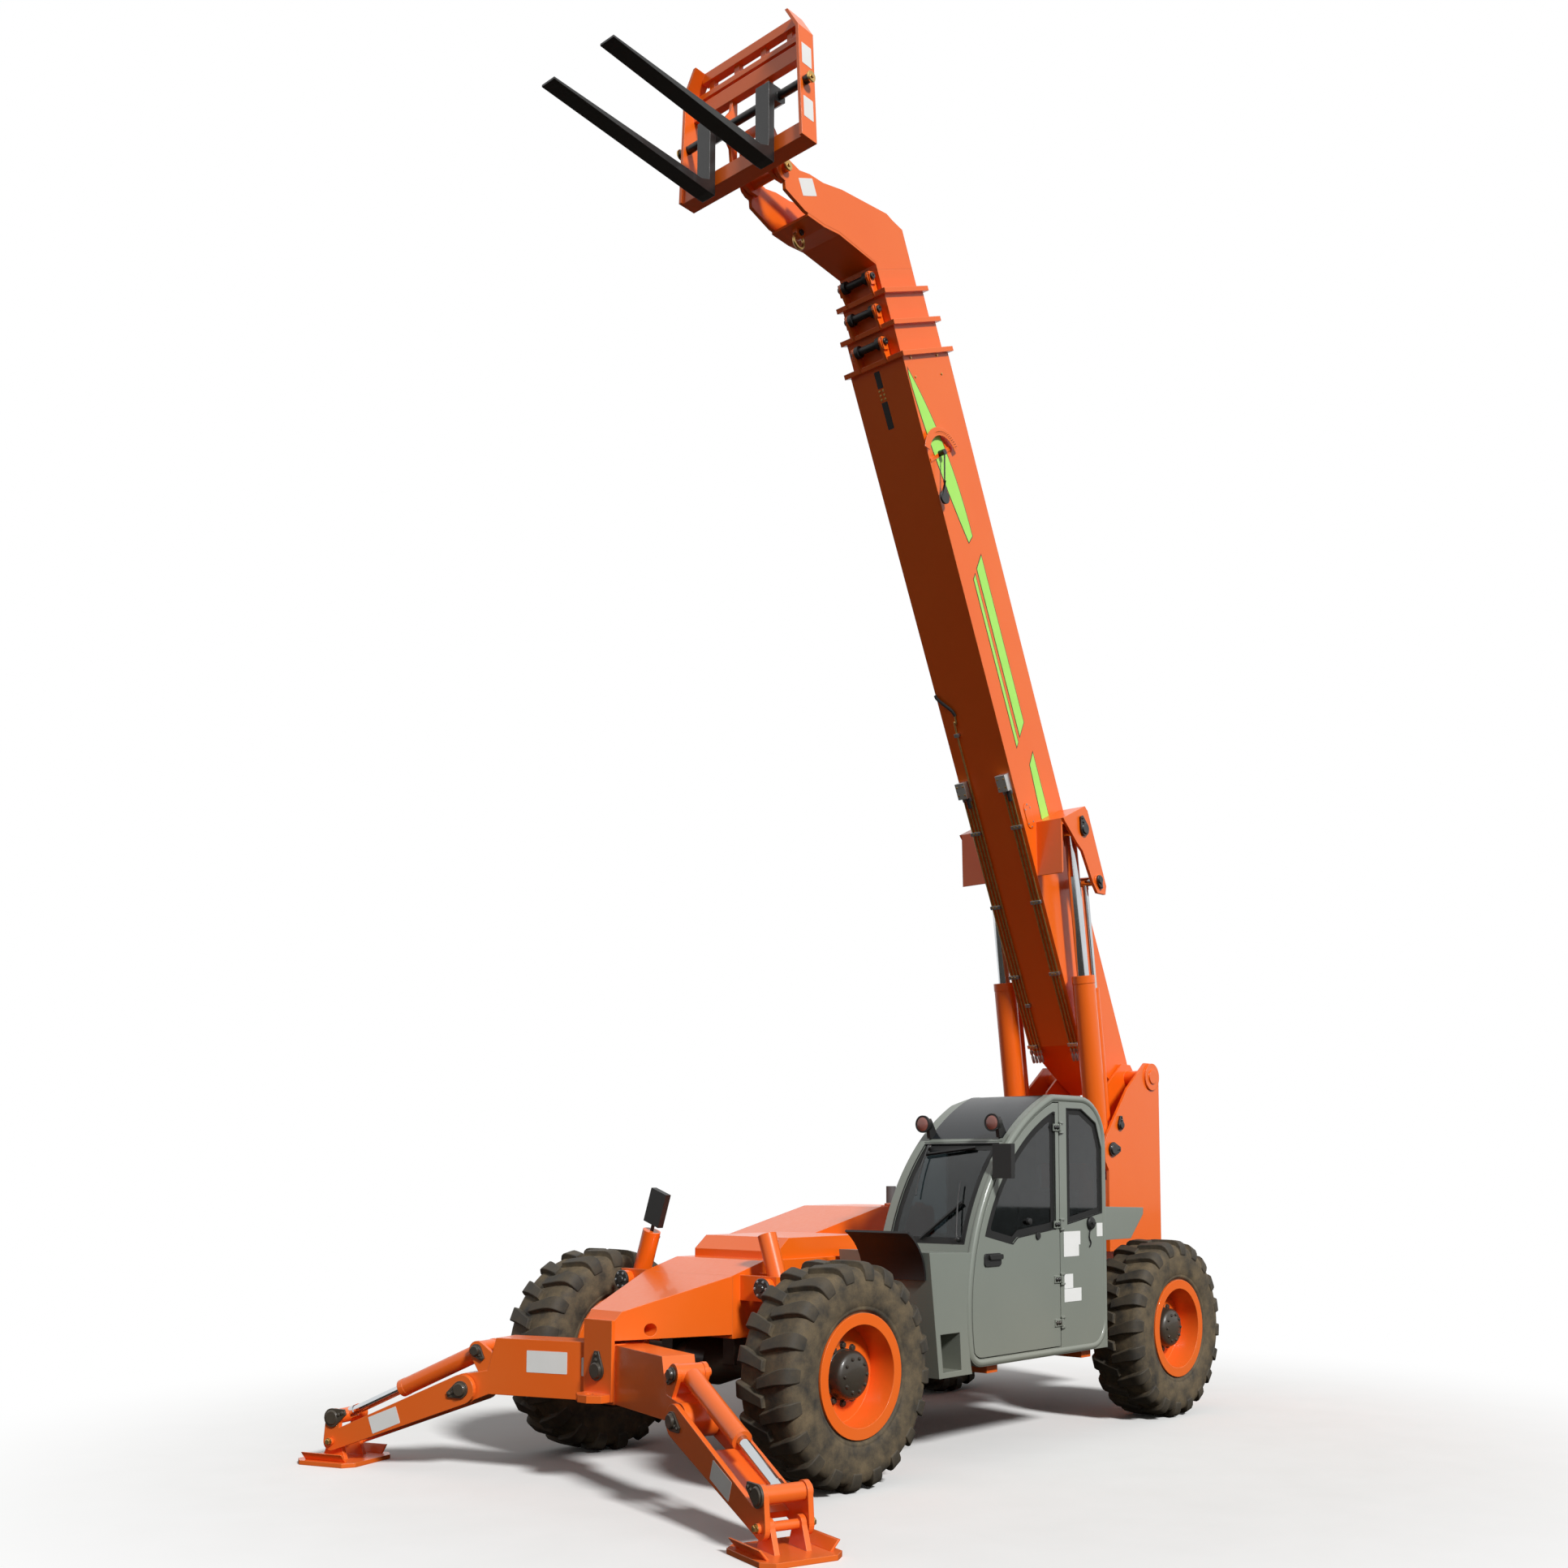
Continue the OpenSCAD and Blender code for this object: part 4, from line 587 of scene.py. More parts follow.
def ring(centre, axis, radius, height, count):
    """Points evenly round an axis: centre + radius (cos, sin) + height along it, all in mm."""
    turn = np.linspace(0, 2 * np.pi, count, endpoint=False)[:, None]
    u, v = axes_about(axis)
    return centre + MM * (radius * (np.cos(turn) * u + np.sin(turn) * v) + height * np.asarray(axis))


for corner, centre in SPIN.items():
    out = np.sign(centre[1]) * Y
    cover = revolved(HUB, centre, out)
    make_piece(f"hub_cover_{corner}", *cover, black_enamel, f"wheel_{corner}", "black_paint", bevel=2)
    nuts = stamped(bolt_head(22), ring(centre, out, NUT_RING, NUT_FACE, NUTS), out)
    screws = stamped(bolt_head(11), ring(centre, out, SCREW_RING, SCREW_FACE, COVER_SCREWS), out)
    both = joined([nuts, screws])
    make_piece(f"wheel_nuts_{corner}", *both, black_enamel, f"wheel_{corner}", "black_paint")
print("hub covers:", len(SPIN), "with", NUTS, "nuts each")

# %% [markdown]
# Oil reaches the sliding sections through steel pressure tubes under the boom: three on each side, with
# crimped hose fittings at the lower end. One more tube runs beside them and ends near a short hose. Tubes
# are bent cold, so they are a circle carried along a smooth path. Everything here rides on the base section.

# %% Pressure tubes and hoses
BOOM_LOW = -515
TUBE_D, TUBE_DROP = 16, 14
TUBE_FROM, TUBE_TO = 485, 2728
BUNDLES = np.array([(-241, -209, -177), (161, 193, 225)])
MIDDLES = BUNDLES[:, 1]
SINGLE_OUT, SINGLE_HIGH = -146, -140
CRIMP = [(9, -6), (13, -6), (13, 22), (9, 28), (9, 40), (12, 46), (12, 100), (9, 106), (0, 106)]


def under(along, out, drop):
    """Points under the base section: mm along the boom, out to the left and below its lower face."""
    return on_boom(along, out, BOOM_LOW - np.asarray(drop))


def under_slab(outline, drop, thick):
    """A plate under the lower face, its outline in mm along and out."""
    return slab(outline, under(0, 0, drop), ALONG, Y, -thick)


def at(outline, along, out):
    """An outline about its own middle, moved to a place."""
    return np.asarray(outline) + [along, out]


tubes = [
    swept(circle(TUBE_D, 10), under([TUBE_FROM, TUBE_TO + 10], out, TUBE_DROP)) for out in BUNDLES.ravel()
]
single_along = [TUBE_FROM, 1200, 2300, 3260, 3330, 3400]
single_out = [SINGLE_OUT, SINGLE_OUT, SINGLE_OUT, SINGLE_HIGH, -122, -112]
tubes.append(swept(circle(TUBE_D, 10), smooth_path(under(single_along, single_out, TUBE_DROP))))
make_piece("pressure_tubes", *joined(tubes), yellow_zinc, "boom_base_body", "chrome_rod", 60)
lower_ends = under(TUBE_FROM, [*BUNDLES.ravel(), SINGLE_OUT], TUBE_DROP)
crimps = [revolved(CRIMP, end, -ALONG, 12) for end in lower_ends]
make_piece("hose_fittings", *joined(crimps), bright_zinc, "boom_base_body", "chrome_rod")
hose_along = [3395, 3440, 3500, 3560, 3590]
hose_out = [-113, -128, -180, -236, -250]
hoses = [swept(circle(26, 10), smooth_path(under(hose_along, hose_out, [14, 17, 22, 20, 14])))]
hoses += [swept(circle(34, 10), under([2640, 2690, 2725], mid + 14, [22, 24, 24])) for mid in MIDDLES]
make_piece("boom_hoses", *joined(hoses), hose_rubber, "boom_base_body", "roller_black", 60)
print("tubes", len(tubes), "hoses", len(hoses), "fittings", len(crimps))

# %% [markdown]
# At their upper end the tubes screw into blocks of milled aluminium, and on the way they lie in clamps. A
# clamp is one thick plate here, because only its outer face and its bolts show.

# %% Valve blocks and clamps
VALVE_AT, VALVE_DEEP = 2795, 72
TUBE_NUT = [(15, 0), (15, 22), (11, 34)]
CLAMPS_AT = np.array([530, 1160, 1781, 2420])
CLAMP_GAP, CLAMP_T = 2, 27
blocks = [under_slab(at(box_outline(134, 92, 3), VALVE_AT, mid), 0, VALVE_DEEP) for mid in MIDDLES]
make_piece("valve_blocks", *joined(blocks), milled_aluminium, "boom_base_body", "chrome_rod", bevel=2)
nuts = [revolved(TUBE_NUT, under(TUBE_TO, out, TUBE_DROP), -ALONG, 6) for out in BUNDLES.ravel()]
clamp_spots = [(along, mid, 98) for along in CLAMPS_AT for mid in MIDDLES]
clamp_spots += [(900, SINGLE_OUT, 46), (3240, SINGLE_HIGH, 46)]
clamps = [
    under_slab(at(box_outline(30, wide, 4), along, out), CLAMP_GAP, CLAMP_T)
    for along, out, wide in clamp_spots
]
make_piece("tube_clamps", *joined(clamps + nuts), bright_zinc, "boom_base_body", "chrome_rod", bevel=1)
heads = [under(CLAMPS_AT, mid + d, CLAMP_GAP + CLAMP_T) for mid in MIDDLES for d in (-16, 16)]
ports = [under(VALVE_AT + d, [mid - 30, mid + 30], VALVE_DEEP) for mid in MIDDLES for d in (-35, 35)]
bolts = stamped(bolt_head(7), np.concatenate(heads + ports), -ABOVE)
make_piece("clamp_bolts", *bolts, yellow_zinc, "boom_base_body", "chrome_rod")
print("clamps", len(clamps), "blocks", len(blocks))

# %% [markdown]
# A boom gives away its inside through a few openings: two long slots near the head reach the wear pads, and
# an oval cover on each side closes a hand hole. Open slots look black because no light comes back, so a
# thin black lining does it. The covers are laser cut plates with a ring of screws. What sits on the boom's
# sides starts about half a millimetre outside its plates.

# %% Slots, covers and wear-pad screws
BOOM_SIDE, COVER_T = 257.0, 6.0
COVER_AT = (2475, -415)
SLOT_OUT = -10
SLOTS = [(123, 52, 5995), (201, 56, 5730)]
PAD_ALONG, PAD_UP = np.array([6070, 6070, 5930, 5930]), np.array([-60, -420, -60, -420])
slots = [under_slab(at(box_outline(w, h, 6), along, SLOT_OUT), 0, 1.5) for w, h, along in SLOTS]
make_piece("boom_slots", *joined(slots), seal_rubber, "boom_base_body", "roller_black")
six = under(np.repeat([5852, 5883, 5914], 2), np.tile([SLOT_OUT - 18, SLOT_OUT + 18], 3), 0)
pad_screws = [stamped(bolt_head(9), six, -ABOVE)]
pad_screws += [stamped(bolt_head(9), on_boom(PAD_ALONG, s * BOOM_SIDE, PAD_UP), s * Y) for s in SIDES]
make_piece("wear_pad_screws", *joined(pad_screws), yellow_zinc, "boom_base_body", "chrome_rod")


def side_slab(outline, side, out=BOOM_SIDE, thick=COVER_T):
    """A plate on a side face of the boom, its outline in mm along and up from the pivot."""
    return slab(outline, on_boom(0, side * out, 0), ALONG, ABOVE, -side * thick)


covers = [side_slab(at(box_outline(210, 96, 46, 10), *COVER_AT), s) for s in SIDES]
make_piece("hand_hole_covers", *joined(covers), orange_enamel, "boom_base_body", "orange_paint", bevel=1)
screw_along, screw_up = at(box_outline(186, 72, 34, 2), *COVER_AT).T
screws = [
    stamped(bolt_head(6), on_boom(screw_along, s * (BOOM_SIDE + COVER_T), screw_up), s * Y) for s in SIDES
]
make_piece("cover_screws", *joined(screws), bright_zinc, "boom_base_body", "chrome_rod")
print("screws round a cover:", len(screw_along))

# %% [markdown]
# The boom wears bright lime film with a dark edge, in plain stripes of a layout of their own: two tapered
# blades and a pair of long lines. Film is cut flat and stuck on, so it is a plate less than a millimetre
# thick over a slightly larger dark one.

# %% Lime stripes
FILM_T, FILM_EDGE = 0.8, 7


def grown(outline, edge):
    """An outline moved out by edge mm: each corner goes along the sum of its two side normals."""
    p = np.asarray(outline, float)
    ahead = np.roll(p, -1, 0) - p
    n = np.stack([ahead[:, 1], -ahead[:, 0]], 1) / np.linalg.norm(ahead, axis=1, keepdims=True)
    m = n + np.roll(n, 1, 0)
    turn = np.sign(np.sum(p[:, 0] * np.roll(p[:, 1], -1) - np.roll(p[:, 0], -1) * p[:, 1]))
    return p + turn * edge * 2 * m / np.sum(m * m, axis=1, keepdims=True)


blade_s = np.linspace(0, 1, 16)
blade_top = np.stack([4700 + 1290 * blade_s, -205 - 285 * blade_s**2.2], 1)
blade_low = np.stack([5950 - 1290 * blade_s, -498 + 225 * blade_s**1.6], 1)
STRIPES = [
    np.concatenate([blade_top, blade_low]),
    [(2230, -255), (2850, -215), (2930, -130), (2310, -130)],
    [(3030, -335), (4380, -335), (4410, -300), (3060, -300)],
    [(3100, -255), (4450, -255), (4540, -150), (3190, -150)],
]
film, shade = [], []
for side in SIDES:
    film += [side_slab(stripe, side, BOOM_SIDE + 0.6, FILM_T) for stripe in STRIPES]
    shade += [side_slab(grown(stripe, FILM_EDGE), side, BOOM_SIDE - 0.2, FILM_T) for stripe in STRIPES]
make_piece("lime_stripes", *joined(film), vinyl_film, "boom_base_body", "orange_paint", 0)
make_piece("stripe_edges", *joined(shade), dark_film, "boom_base_body", "black_paint", 0)
print("stripes on each side:", len(STRIPES))

# %% [markdown]
# A pendulum shows the boom's angle to the operator: a pointer with a weight that hangs in front of a bent
# scale. The scale is a strip that stands out from the boom; here its marks are plain bars. The weight is a
# flat teardrop.

# %% Angle indicator
HANG = on_boom(5352, 300, -366)
SCALE_R, SCALE_BACK, SCALE_IN = 205, 45, 12
WEIGHT_R, WEIGHT_LOW = 52, 360


def on_scale(turn, r):
    """Points of the bent scale: the hanging point + r (cos, sin) along and above, moved back and in."""
    bent = np.cos(turn)[:, None] * ALONG + np.sin(turn)[:, None] * ABOVE
    return HANG + MM * (r * bent - SCALE_BACK * ALONG - SCALE_IN * Y)


scale_turn = np.radians(np.linspace(-62, 78, 25))
strip = swept([(-32, -2), (32, -2), (32, 2), (-32, 2)], on_scale(scale_turn, SCALE_R), up=Y)
stay = side_slab([(5300, -505), (5330, -505), (5400, -180), (5370, -180)], 1, BOOM_SIDE, 5)
make_piece("angle_scale", *joined([strip, stay]), orange_enamel, "boom_base_body", "orange_paint")
tick_turn = np.radians(np.linspace(-6, 70, 14))
ticks = [
    slab(box_outline(3, 40), tick, np.cos(a) * ABOVE - np.sin(a) * ALONG, Y, 2)
    for tick, a in zip(on_scale(tick_turn, SCALE_R - 3), tick_turn)
]
make_piece("scale_marks", *joined(ticks), dark_film, "boom_base_body", "black_paint", 0)
drop_turn = np.radians(np.linspace(-150, 150, 24))
tear = np.stack([WEIGHT_R * np.sin(drop_turn), -WEIGHT_LOW - WEIGHT_R * np.cos(drop_turn)], 1)
weight = slab(np.concatenate([tear, [(-9, -230), (9, -230)]]), HANG, X, Z, -16)
rod = swept(circle(12, 8), [HANG + 8 * MM * Y, HANG + MM * np.array([0, 8, -300])], up=Y)
hub = revolved([(22, -42), (22, 14), (0, 14)], HANG, Y, 20)
make_piece("angle_pendulum", *joined([weight, rod, hub]), black_enamel, "boom_base_body", "black_paint")
print("pendulum hangs", round(HANG[2] / MM), "mm above the ground")

# %% [markdown]
# Big pins are kept from turning by a plate bolted over their end. On this machine it is a black teardrop with
# two bolts and a cap over the pin. The pins of the lift gear carry one at each end, and further on the leg
# pins and the nose pin carry one in front. A tower pin ends 18 mm outside its plate, inside the cap.

# %% Pin retainers
PLATE_T, PIN_STUB = 12, 18
LIFT_PIN_D, SLAVE_PIN_D = 80, 56


def retainer(place, axis, d, aim, rise=PIN_STUB):
    """A teardrop plate round a pin of diameter d, drawn to a blunt point along aim, and a cap on the pin."""
    turn = np.radians(np.linspace(60, 300, 17))
    arc = np.stack([np.cos(turn), np.sin(turn)], 1)
    drop = np.concatenate([arc, [(1.9, -0.3), (1.9, 0.3)]]) * d * 0.72
    plate = slab(drop, place, aim, np.cross(axis, aim), PLATE_T)
    cap = revolved([(0.56 * d, 0), (0.56 * d, rise), (0.5 * d, rise + 5), (0, rise + 5)], place, axis, 28)
    bolts = np.stack([place + MM * (PLATE_T * axis + out * d * aim) for out in (0.72, 1.12)])
    return joined([plate, cap, stamped(bolt_head(0.13 * d), bolts, axis)])


def pin_ends(name, body, pins):
    """Retainers at both ends of pins given as (point in the middle plane, half length mm, diameter, aim)."""
    shapes = [retainer(p + s * MM * half * Y, s * Y, d, aim) for p, half, d, aim in pins for s in SIDES]
    make_piece(name, *joined(shapes), black_enamel, body, "black_paint")
    return len(shapes)


tower_plate = reach("boom_towers", Y, 0 * Y)[1] - PIN_STUB
bracket_out = reach("boom_base", Y, 0 * Y)[1]
lift_foot = np.array(joints["lift_barrel_swing"]["pos_m"])
slave_foot = np.array(joints["slave_barrel_swing"]["pos_m"])
boom_pins = [
    (on_boom(2233, 0, -87), bracket_out, LIFT_PIN_D, ALONG),
    (on_boom(1784, 0, -54), bracket_out, SLAVE_PIN_D, -ALONG),
]
tower_pins = [(lift_foot, tower_plate, LIFT_PIN_D, -X), (slave_foot, tower_plate, SLAVE_PIN_D, Z)]
count = pin_ends("boom_pin_retainers", "boom_base_body", boom_pins)
count += pin_ends("tower_pin_retainers", "chassis", tower_pins)
print("retainers:", count)

# %% [markdown]
# The cab is drawn from its own ruler: millimetres ahead of the rear axle, out to the left, and up. Its
# screen and roof follow one big arc. Most of what makes a cab look real lies along the edges of its
# openings, so first come those edges. An opening may be bounded by arcs and lines; a fan of rays from its
# middle meets them, and the nearest meeting point along each ray is the edge.

# %% The cab's ruler and a fan of rays
REAR_AXLE = SPIN["rl"][0]
ARC_AT, ARC_R = np.array([1076.0, 950.0]), 1556.0
CAB_OUT, CAB_IN, CAB_ROOF, CAB_FLOOR = 1200.0, 425.0, 2410.0, 600.0
TOE_AT, TOE_R = np.array([2474.0, 760.0]), 160.0
CAB_REAR, REAR_R, HEEL_R = 920.0, 330.0, 200.0
DOOR_REAR, PILLAR = 1480.0, 58.0


def machine(x, y, z):
    """Points at mm ahead of the rear axle, out to the left of the middle and above the ground."""
    x, y, z = np.broadcast_arrays(*(np.asarray(v, float) for v in (x, y, z)))
    return np.stack([REAR_AXLE + MM * x, MM * y, MM * z], -1)


def arc_line(centre, r, start, end, steps=60):
    """Points of an arc in x and z from one angle to another, in degrees."""
    turn = np.radians(np.linspace(start, end, steps))
    return centre + r * np.stack([np.cos(turn), np.sin(turn)], 1)


def edge_of(centre, lines, rays):
    """The nearest point on any of several lines along each ray of a fan: centre + ray * least distance."""
    turn = np.linspace(0, 2 * np.pi, rays, endpoint=False)
    ray = np.stack([np.cos(turn), np.sin(turn)], 1)[:, None]
    a = np.concatenate([line[:-1] for line in lines])[None]
    step = np.concatenate([np.diff(line, axis=0) for line in lines])[None]
    gap = a - np.asarray(centre)
    cross = ray[..., 0] * step[..., 1] - ray[..., 1] * step[..., 0]
    cross = np.where(np.abs(cross) < 1e-9, 1e-9, cross)
    far = (gap[..., 0] * step[..., 1] - gap[..., 1] * step[..., 0]) / cross
    share = (gap[..., 0] * ray[..., 1] - gap[..., 1] * ray[..., 0]) / cross
    far = np.where((far > 0) & (share >= -1e-6) & (share <= 1 + 1e-6), far, np.inf)
    return np.asarray(centre) + ray[:, 0] * far.min(1)[:, None]


print("the screen's arc reaches", ARC_AT[1] + ARC_R, "mm up")

# %% [markdown]
# The door's hole, its window and the whole side are such edges, and the rear pane has straight sides. Each
# takes an inset, so that a seal or a border is simply the same edge a little further in or out.

# %% Edges of the cab's openings
WINDOW_REAR, WINDOW_IN = DOOR_REAR + 110, PILLAR + 62
BEYOND = 3000.0


def door_edge(inset):
    """Edge of the door's hole, moved in from the cab's outline: arc, roof, rear post, floor and toe."""
    r, rear, low = ARC_R - inset, DOOR_REAR + inset, CAB_FLOOR + inset
    box = np.array([(rear, BEYOND), (rear, low), (BEYOND, low)])
    roof = np.array([(0.0, CAB_ROOF - inset), (BEYOND, CAB_ROOF - inset)])
    toe = arc_line(TOE_AT, TOE_R - inset, -90, 0, 20)
    return edge_of((2000, 1500), [arc_line(ARC_AT, r, -30, 90), box, roof, toe], 240)


def window_edge(inset):
    """Edge of the door's window: the same arc further in, over a sill that dips in the middle."""
    sill = np.array([(WINDOW_REAR, 1475), (2050, 1428), (2110, 1386), (2632, 1492)]) + [0.0, inset]
    rear = np.array([(WINDOW_REAR + inset, 1000.0), (WINDOW_REAR + inset, BEYOND)])
    high = CAB_ROOF - WINDOW_IN - inset
    roof = np.array([(0.0, high), (BEYOND, high)])
    arc = arc_line(ARC_AT, ARC_R - WINDOW_IN - inset, -30, 90)
    return edge_of((1950, 1750), [arc, sill, rear, roof], 200)


def quarter_edge(inset):
    """Edge of the fixed rear side window, a six sided pane."""
    pane = np.array([(980, 1575), (1430, 1505), (1430, 2315), (1240, 2315), (1050, 2220), (980, 2040)], float)
    return grown(pane, -inset)


def cab_edge(inset):
    """Outline of the whole cab side, moved in: arc, roof, two rear corners, floor and toe."""
    r, rear, low, high = ARC_R - inset, CAB_REAR + inset, CAB_FLOOR + inset, CAB_ROOF - inset
    frame_lines = np.array([(BEYOND, high), (rear, high), (rear, low), (BEYOND, low)])
    crown = arc_line((CAB_REAR + REAR_R, CAB_ROOF - REAR_R), REAR_R - inset, 90, 180, 24)
    heel = arc_line((CAB_REAR + HEEL_R, CAB_FLOOR + HEEL_R), HEEL_R - inset, 180, 270, 24)
    toe = arc_line(TOE_AT, TOE_R - inset, -90, 0, 20)
    return edge_of((1750, 1500), [arc_line(ARC_AT, r, -30, 90), frame_lines, crown, heel, toe], 300)


print("door hole", np.round(np.ptp(door_edge(PILLAR), axis=0)).tolist(), "mm")

# %% [markdown]
# Panes are bonded to the frame over a printed black border, which hides the glue. The door closes on a
# rubber bulb that shows as a dark line in its gap. Both are thin bands between two edges: four rings of
# points, joined round.

# %% Bands on wall and screen
PANE_FACE = CAB_OUT - 9.8
SCREEN_IN, SCREEN_Y, SCREEN_Z = 10, (502, 1123), (1402, 2058)


def on_wall(edge, y):
    """Points of an edge given in x and z, at mm out to the left."""
    return machine(edge[:, 0], y, edge[:, 1])


def on_screen(yz, off=0.0):
    """Points on the windscreen's arc at (out, up) mm, moved off its outer face."""
    y, z = np.moveaxis(np.asarray(yz, float), -1, 0)
    rise = np.arcsin((z - ARC_AT[1]) / ARC_R)
    r = ARC_R - SCREEN_IN + off
    return machine(ARC_AT[0] + r * np.cos(rise), y, ARC_AT[1] + r * np.sin(rise))


def screen_edge(inset, steps=24):
    """A rectangle in y and z on the screen, moved in, each of its sides cut into steps."""
    (y0, y1), (low, high) = SCREEN_Y, SCREEN_Z
    corners = np.array([(y0, low), (y1, low), (y1, high), (y0, high)], float)
    corners += inset * np.array([(1, 1), (-1, 1), (-1, -1), (1, -1)])
    share = np.linspace(0, 1, steps, endpoint=False)[:, None]
    return np.concatenate([p + share * (q - p) for p, q in zip(corners, np.roll(corners, -1, 0))])


def band(outer, inner, depth, thick, place=on_wall):
    """A flat ring between two edges of equal count: outer, inner, inner and outer rows at two depths."""
    far = depth + thick
    rows = [place(e, d) for e, d in ((outer, depth), (inner, depth), (inner, far), (outer, far))]
    return np.concatenate(rows), [tuple(f) for f in grid_faces(4, len(outer), around=True, closed=True)]


print("points round the screen:", len(screen_edge(0)))

# %% [markdown]
# The seal lies on the frame, behind the door. Door, rear pane and screen each get a printed border on the
# glass and a rubber lip round it, and the screen's follow its curve.

# %% Seal, borders and lips
seal = band(door_edge(PILLAR - 9), door_edge(PILLAR + 12), CAB_OUT - 44, 14)
make_piece("door_seal", *seal, seal_rubber, "chassis", "roller_black")
border = band(window_edge(1), window_edge(46), PANE_FACE, 1)
make_piece("door_glass_border", *border, seal_rubber, "door", "roller_black", 0)
lip = band(window_edge(-7), window_edge(2), CAB_OUT - 1, 3)
make_piece("door_glass_lip", *lip, seal_rubber, "door", "roller_black")
quarter = joined(
    [
        band(quarter_edge(1), quarter_edge(40), PANE_FACE, 1),
        band(quarter_edge(-7), quarter_edge(2), CAB_OUT - 1, 3),
    ]
)
make_piece("quarter_glass_border", *quarter, seal_rubber, "chassis", "roller_black", 0)
screen = joined(
    [
        band(screen_edge(0), screen_edge(36), 0.3, 1, on_screen),
        band(screen_edge(-8), screen_edge(1), 8, 4, on_screen),
    ]
)
make_piece("windscreen_border", *screen, seal_rubber, "chassis", "roller_black", 0)
print("bands on door, quarter pane and screen")

# %% [markdown]
# A rounded steel tube runs round the cab's side and gives it its soft edge, and a dark pane lies over the
# roof beside it. Both follow the cab's arc: the tube is a circle carried round the outline, the pane a
# strip carried along the arc and on over the flat of the roof.

# %% Side tube and roof pane
TUBE_IN, TUBE_SUNK, FRAME_TUBE = 24.0, 18.0, 56.0
PANE_Y, PANE_BACK = (505.0, 1135.0), 1550.0
PANE_TURN, PANE_GAP, PANE_T = (47.5, 69.4), 1, 6
rail = cab_edge(TUBE_IN)
tube_line = on_wall(rail, CAB_OUT - TUBE_SUNK)
cab_tube = swept(circle(FRAME_TUBE, 16), tube_line, Y, True)
make_piece("cab_tube", *cab_tube, grey_enamel, "chassis", "grey_paint", 60)
pane_arc = arc_line(ARC_AT, ARC_R + PANE_GAP, *PANE_TURN, 30)
pane_line = np.concatenate([pane_arc, [(PANE_BACK, CAB_ROOF + PANE_GAP)]])
pane_path = on_wall(pane_line, np.mean(PANE_Y))
pane_half = np.ptp(PANE_Y) / 2
pane_form = [(0, -pane_half), (PANE_T, -pane_half), (PANE_T, pane_half), (0, pane_half)]
roof_pane = swept(pane_form, pane_path, Y)
make_piece("roof_pane", *roof_pane, roof_glass, "chassis", "tinted_glass", 60)
print("tube round the side", len(rail), "points, roof pane", round(np.ptp(PANE_Y)), "mm wide")

# %% [markdown]
# Two wipers sweep the screen, and a short visor keeps the sun off its top edge. A wiper is an arm, bent
# from steel rod, and a rubber blade: two paths that follow the glass a finger's width off it.

# %% Wipers and visor
WIPER_BOSS = [(17, -14), (17, 24), (11, 32), (0, 32)]
WIPER_BLADE = [(-4, -12), (4, -12), (9, 8), (-9, 8)]
ARM_OFF, BLADE_OFF = 30, 16
# Each wiper has its pivot, the end of its arm, the ends of its blade and the lean of its pivot's axis.
WIPERS = [
    ((1075, 1425), (980, 1790), ((1040, 1660), (760, 1418)), 0.3),
    ((560, 2035), (640, 1700), ((560, 1985), (960, 2030)), 0.9),
]


def screen_path(ends, off, steps=14):
    """A line on the screen between (y, z) ends, kept off the glass by mm."""
    t = np.linspace(0, 1, steps)[:, None]
    return on_screen((1 - t) * np.array(ends[0]) + t * np.array(ends[1]), off)


arms, blades = [], []
for pivot, tip, blade, lean in WIPERS:
    arms.append(swept(circle(11, 8), screen_path((pivot, tip), ARM_OFF), up=X + Z))
    arms.append(revolved(WIPER_BOSS, on_screen(pivot), X + lean * Z, 20))
    blades.append(swept(WIPER_BLADE, screen_path(blade, BLADE_OFF), up=X + Z))
make_piece("wiper_arms", *joined(arms), black_enamel, "chassis", "black_paint", 60)
make_piece("wiper_blades", *joined(blades), seal_rubber, "chassis", "roller_black")
visor_line = on_screen([(478, 2074), (1147, 2074)], 10)
visor = swept([(0, -4), (0, 4), (-135, -28), (-135, -34)], visor_line, up=Z)
make_piece("sun_visor", *visor, black_abs, "chassis", "black_paint", bevel=2)
visor_reach = (visor[0][:, 0].max() - visor_line[0, 0]) / MM
print("wipers", len(WIPERS), "visor reaches", round(visor_reach), "mm ahead")

# %% [markdown]
# The door is worked by a paddle in a black bezel and hangs on four hinges with domed bolts. Behind it are a
# filler cap on its cord and a few plain white plates. Lamps get a lens in a bezel, and the mirror a
# silvered pane.

# %% Door gear, cap, plates, lamps and mirror
LABEL_T = 1.2
PLATES = [(1378, 1400, 215, 96), (1388, 1312, 195, 80), (1428, 1100, 112, 100)]
PLATES += [(1375, 1002, 220, 92), (1010, 1450, 78, 96)]
HINGE_Z = np.array([820.0, 1120, 1500, 2180])
FILLER = (1140, 1500)
LAMP_TURN, LAMP_OFF = np.radians(50), [142, 60]


def wall_slab(outline, x, z, y, thick):
    """A plate on the cab's left wall, its outline in mm about a point."""
    return slab(outline, machine(x, y, z), -X, Z, thick)


handle = joined(
    [
        wall_slab(box_outline(190, 86, 22), 2352, 1288, CAB_OUT, 10),
        wall_slab(box_outline(150, 34, 12), 2330, 1306, CAB_OUT + 10, 16),
        revolved([(26, 0), (26, 12), (0, 12)], machine(1815, CAB_OUT, 1430), Y, 20),
        revolved([(26, 0), (22, 22), (0, 26)], machine(1917, CAB_OUT - 9, 1530), Y, 20),
    ]
)
make_piece("door_handle", *handle, black_abs, "door", "black_paint", bevel=2)
DOME = revolved([(15, 0), (15, 5), (11, 11), (5, 13.5), (0, 14)], (0, 0, 0), Z, 14)
dome_spots = machine(np.tile([1562.0, 1594], len(HINGE_Z)), CAB_OUT + 9, np.repeat(HINGE_Z, 2))
domes = stamped(DOME, dome_spots, Y)
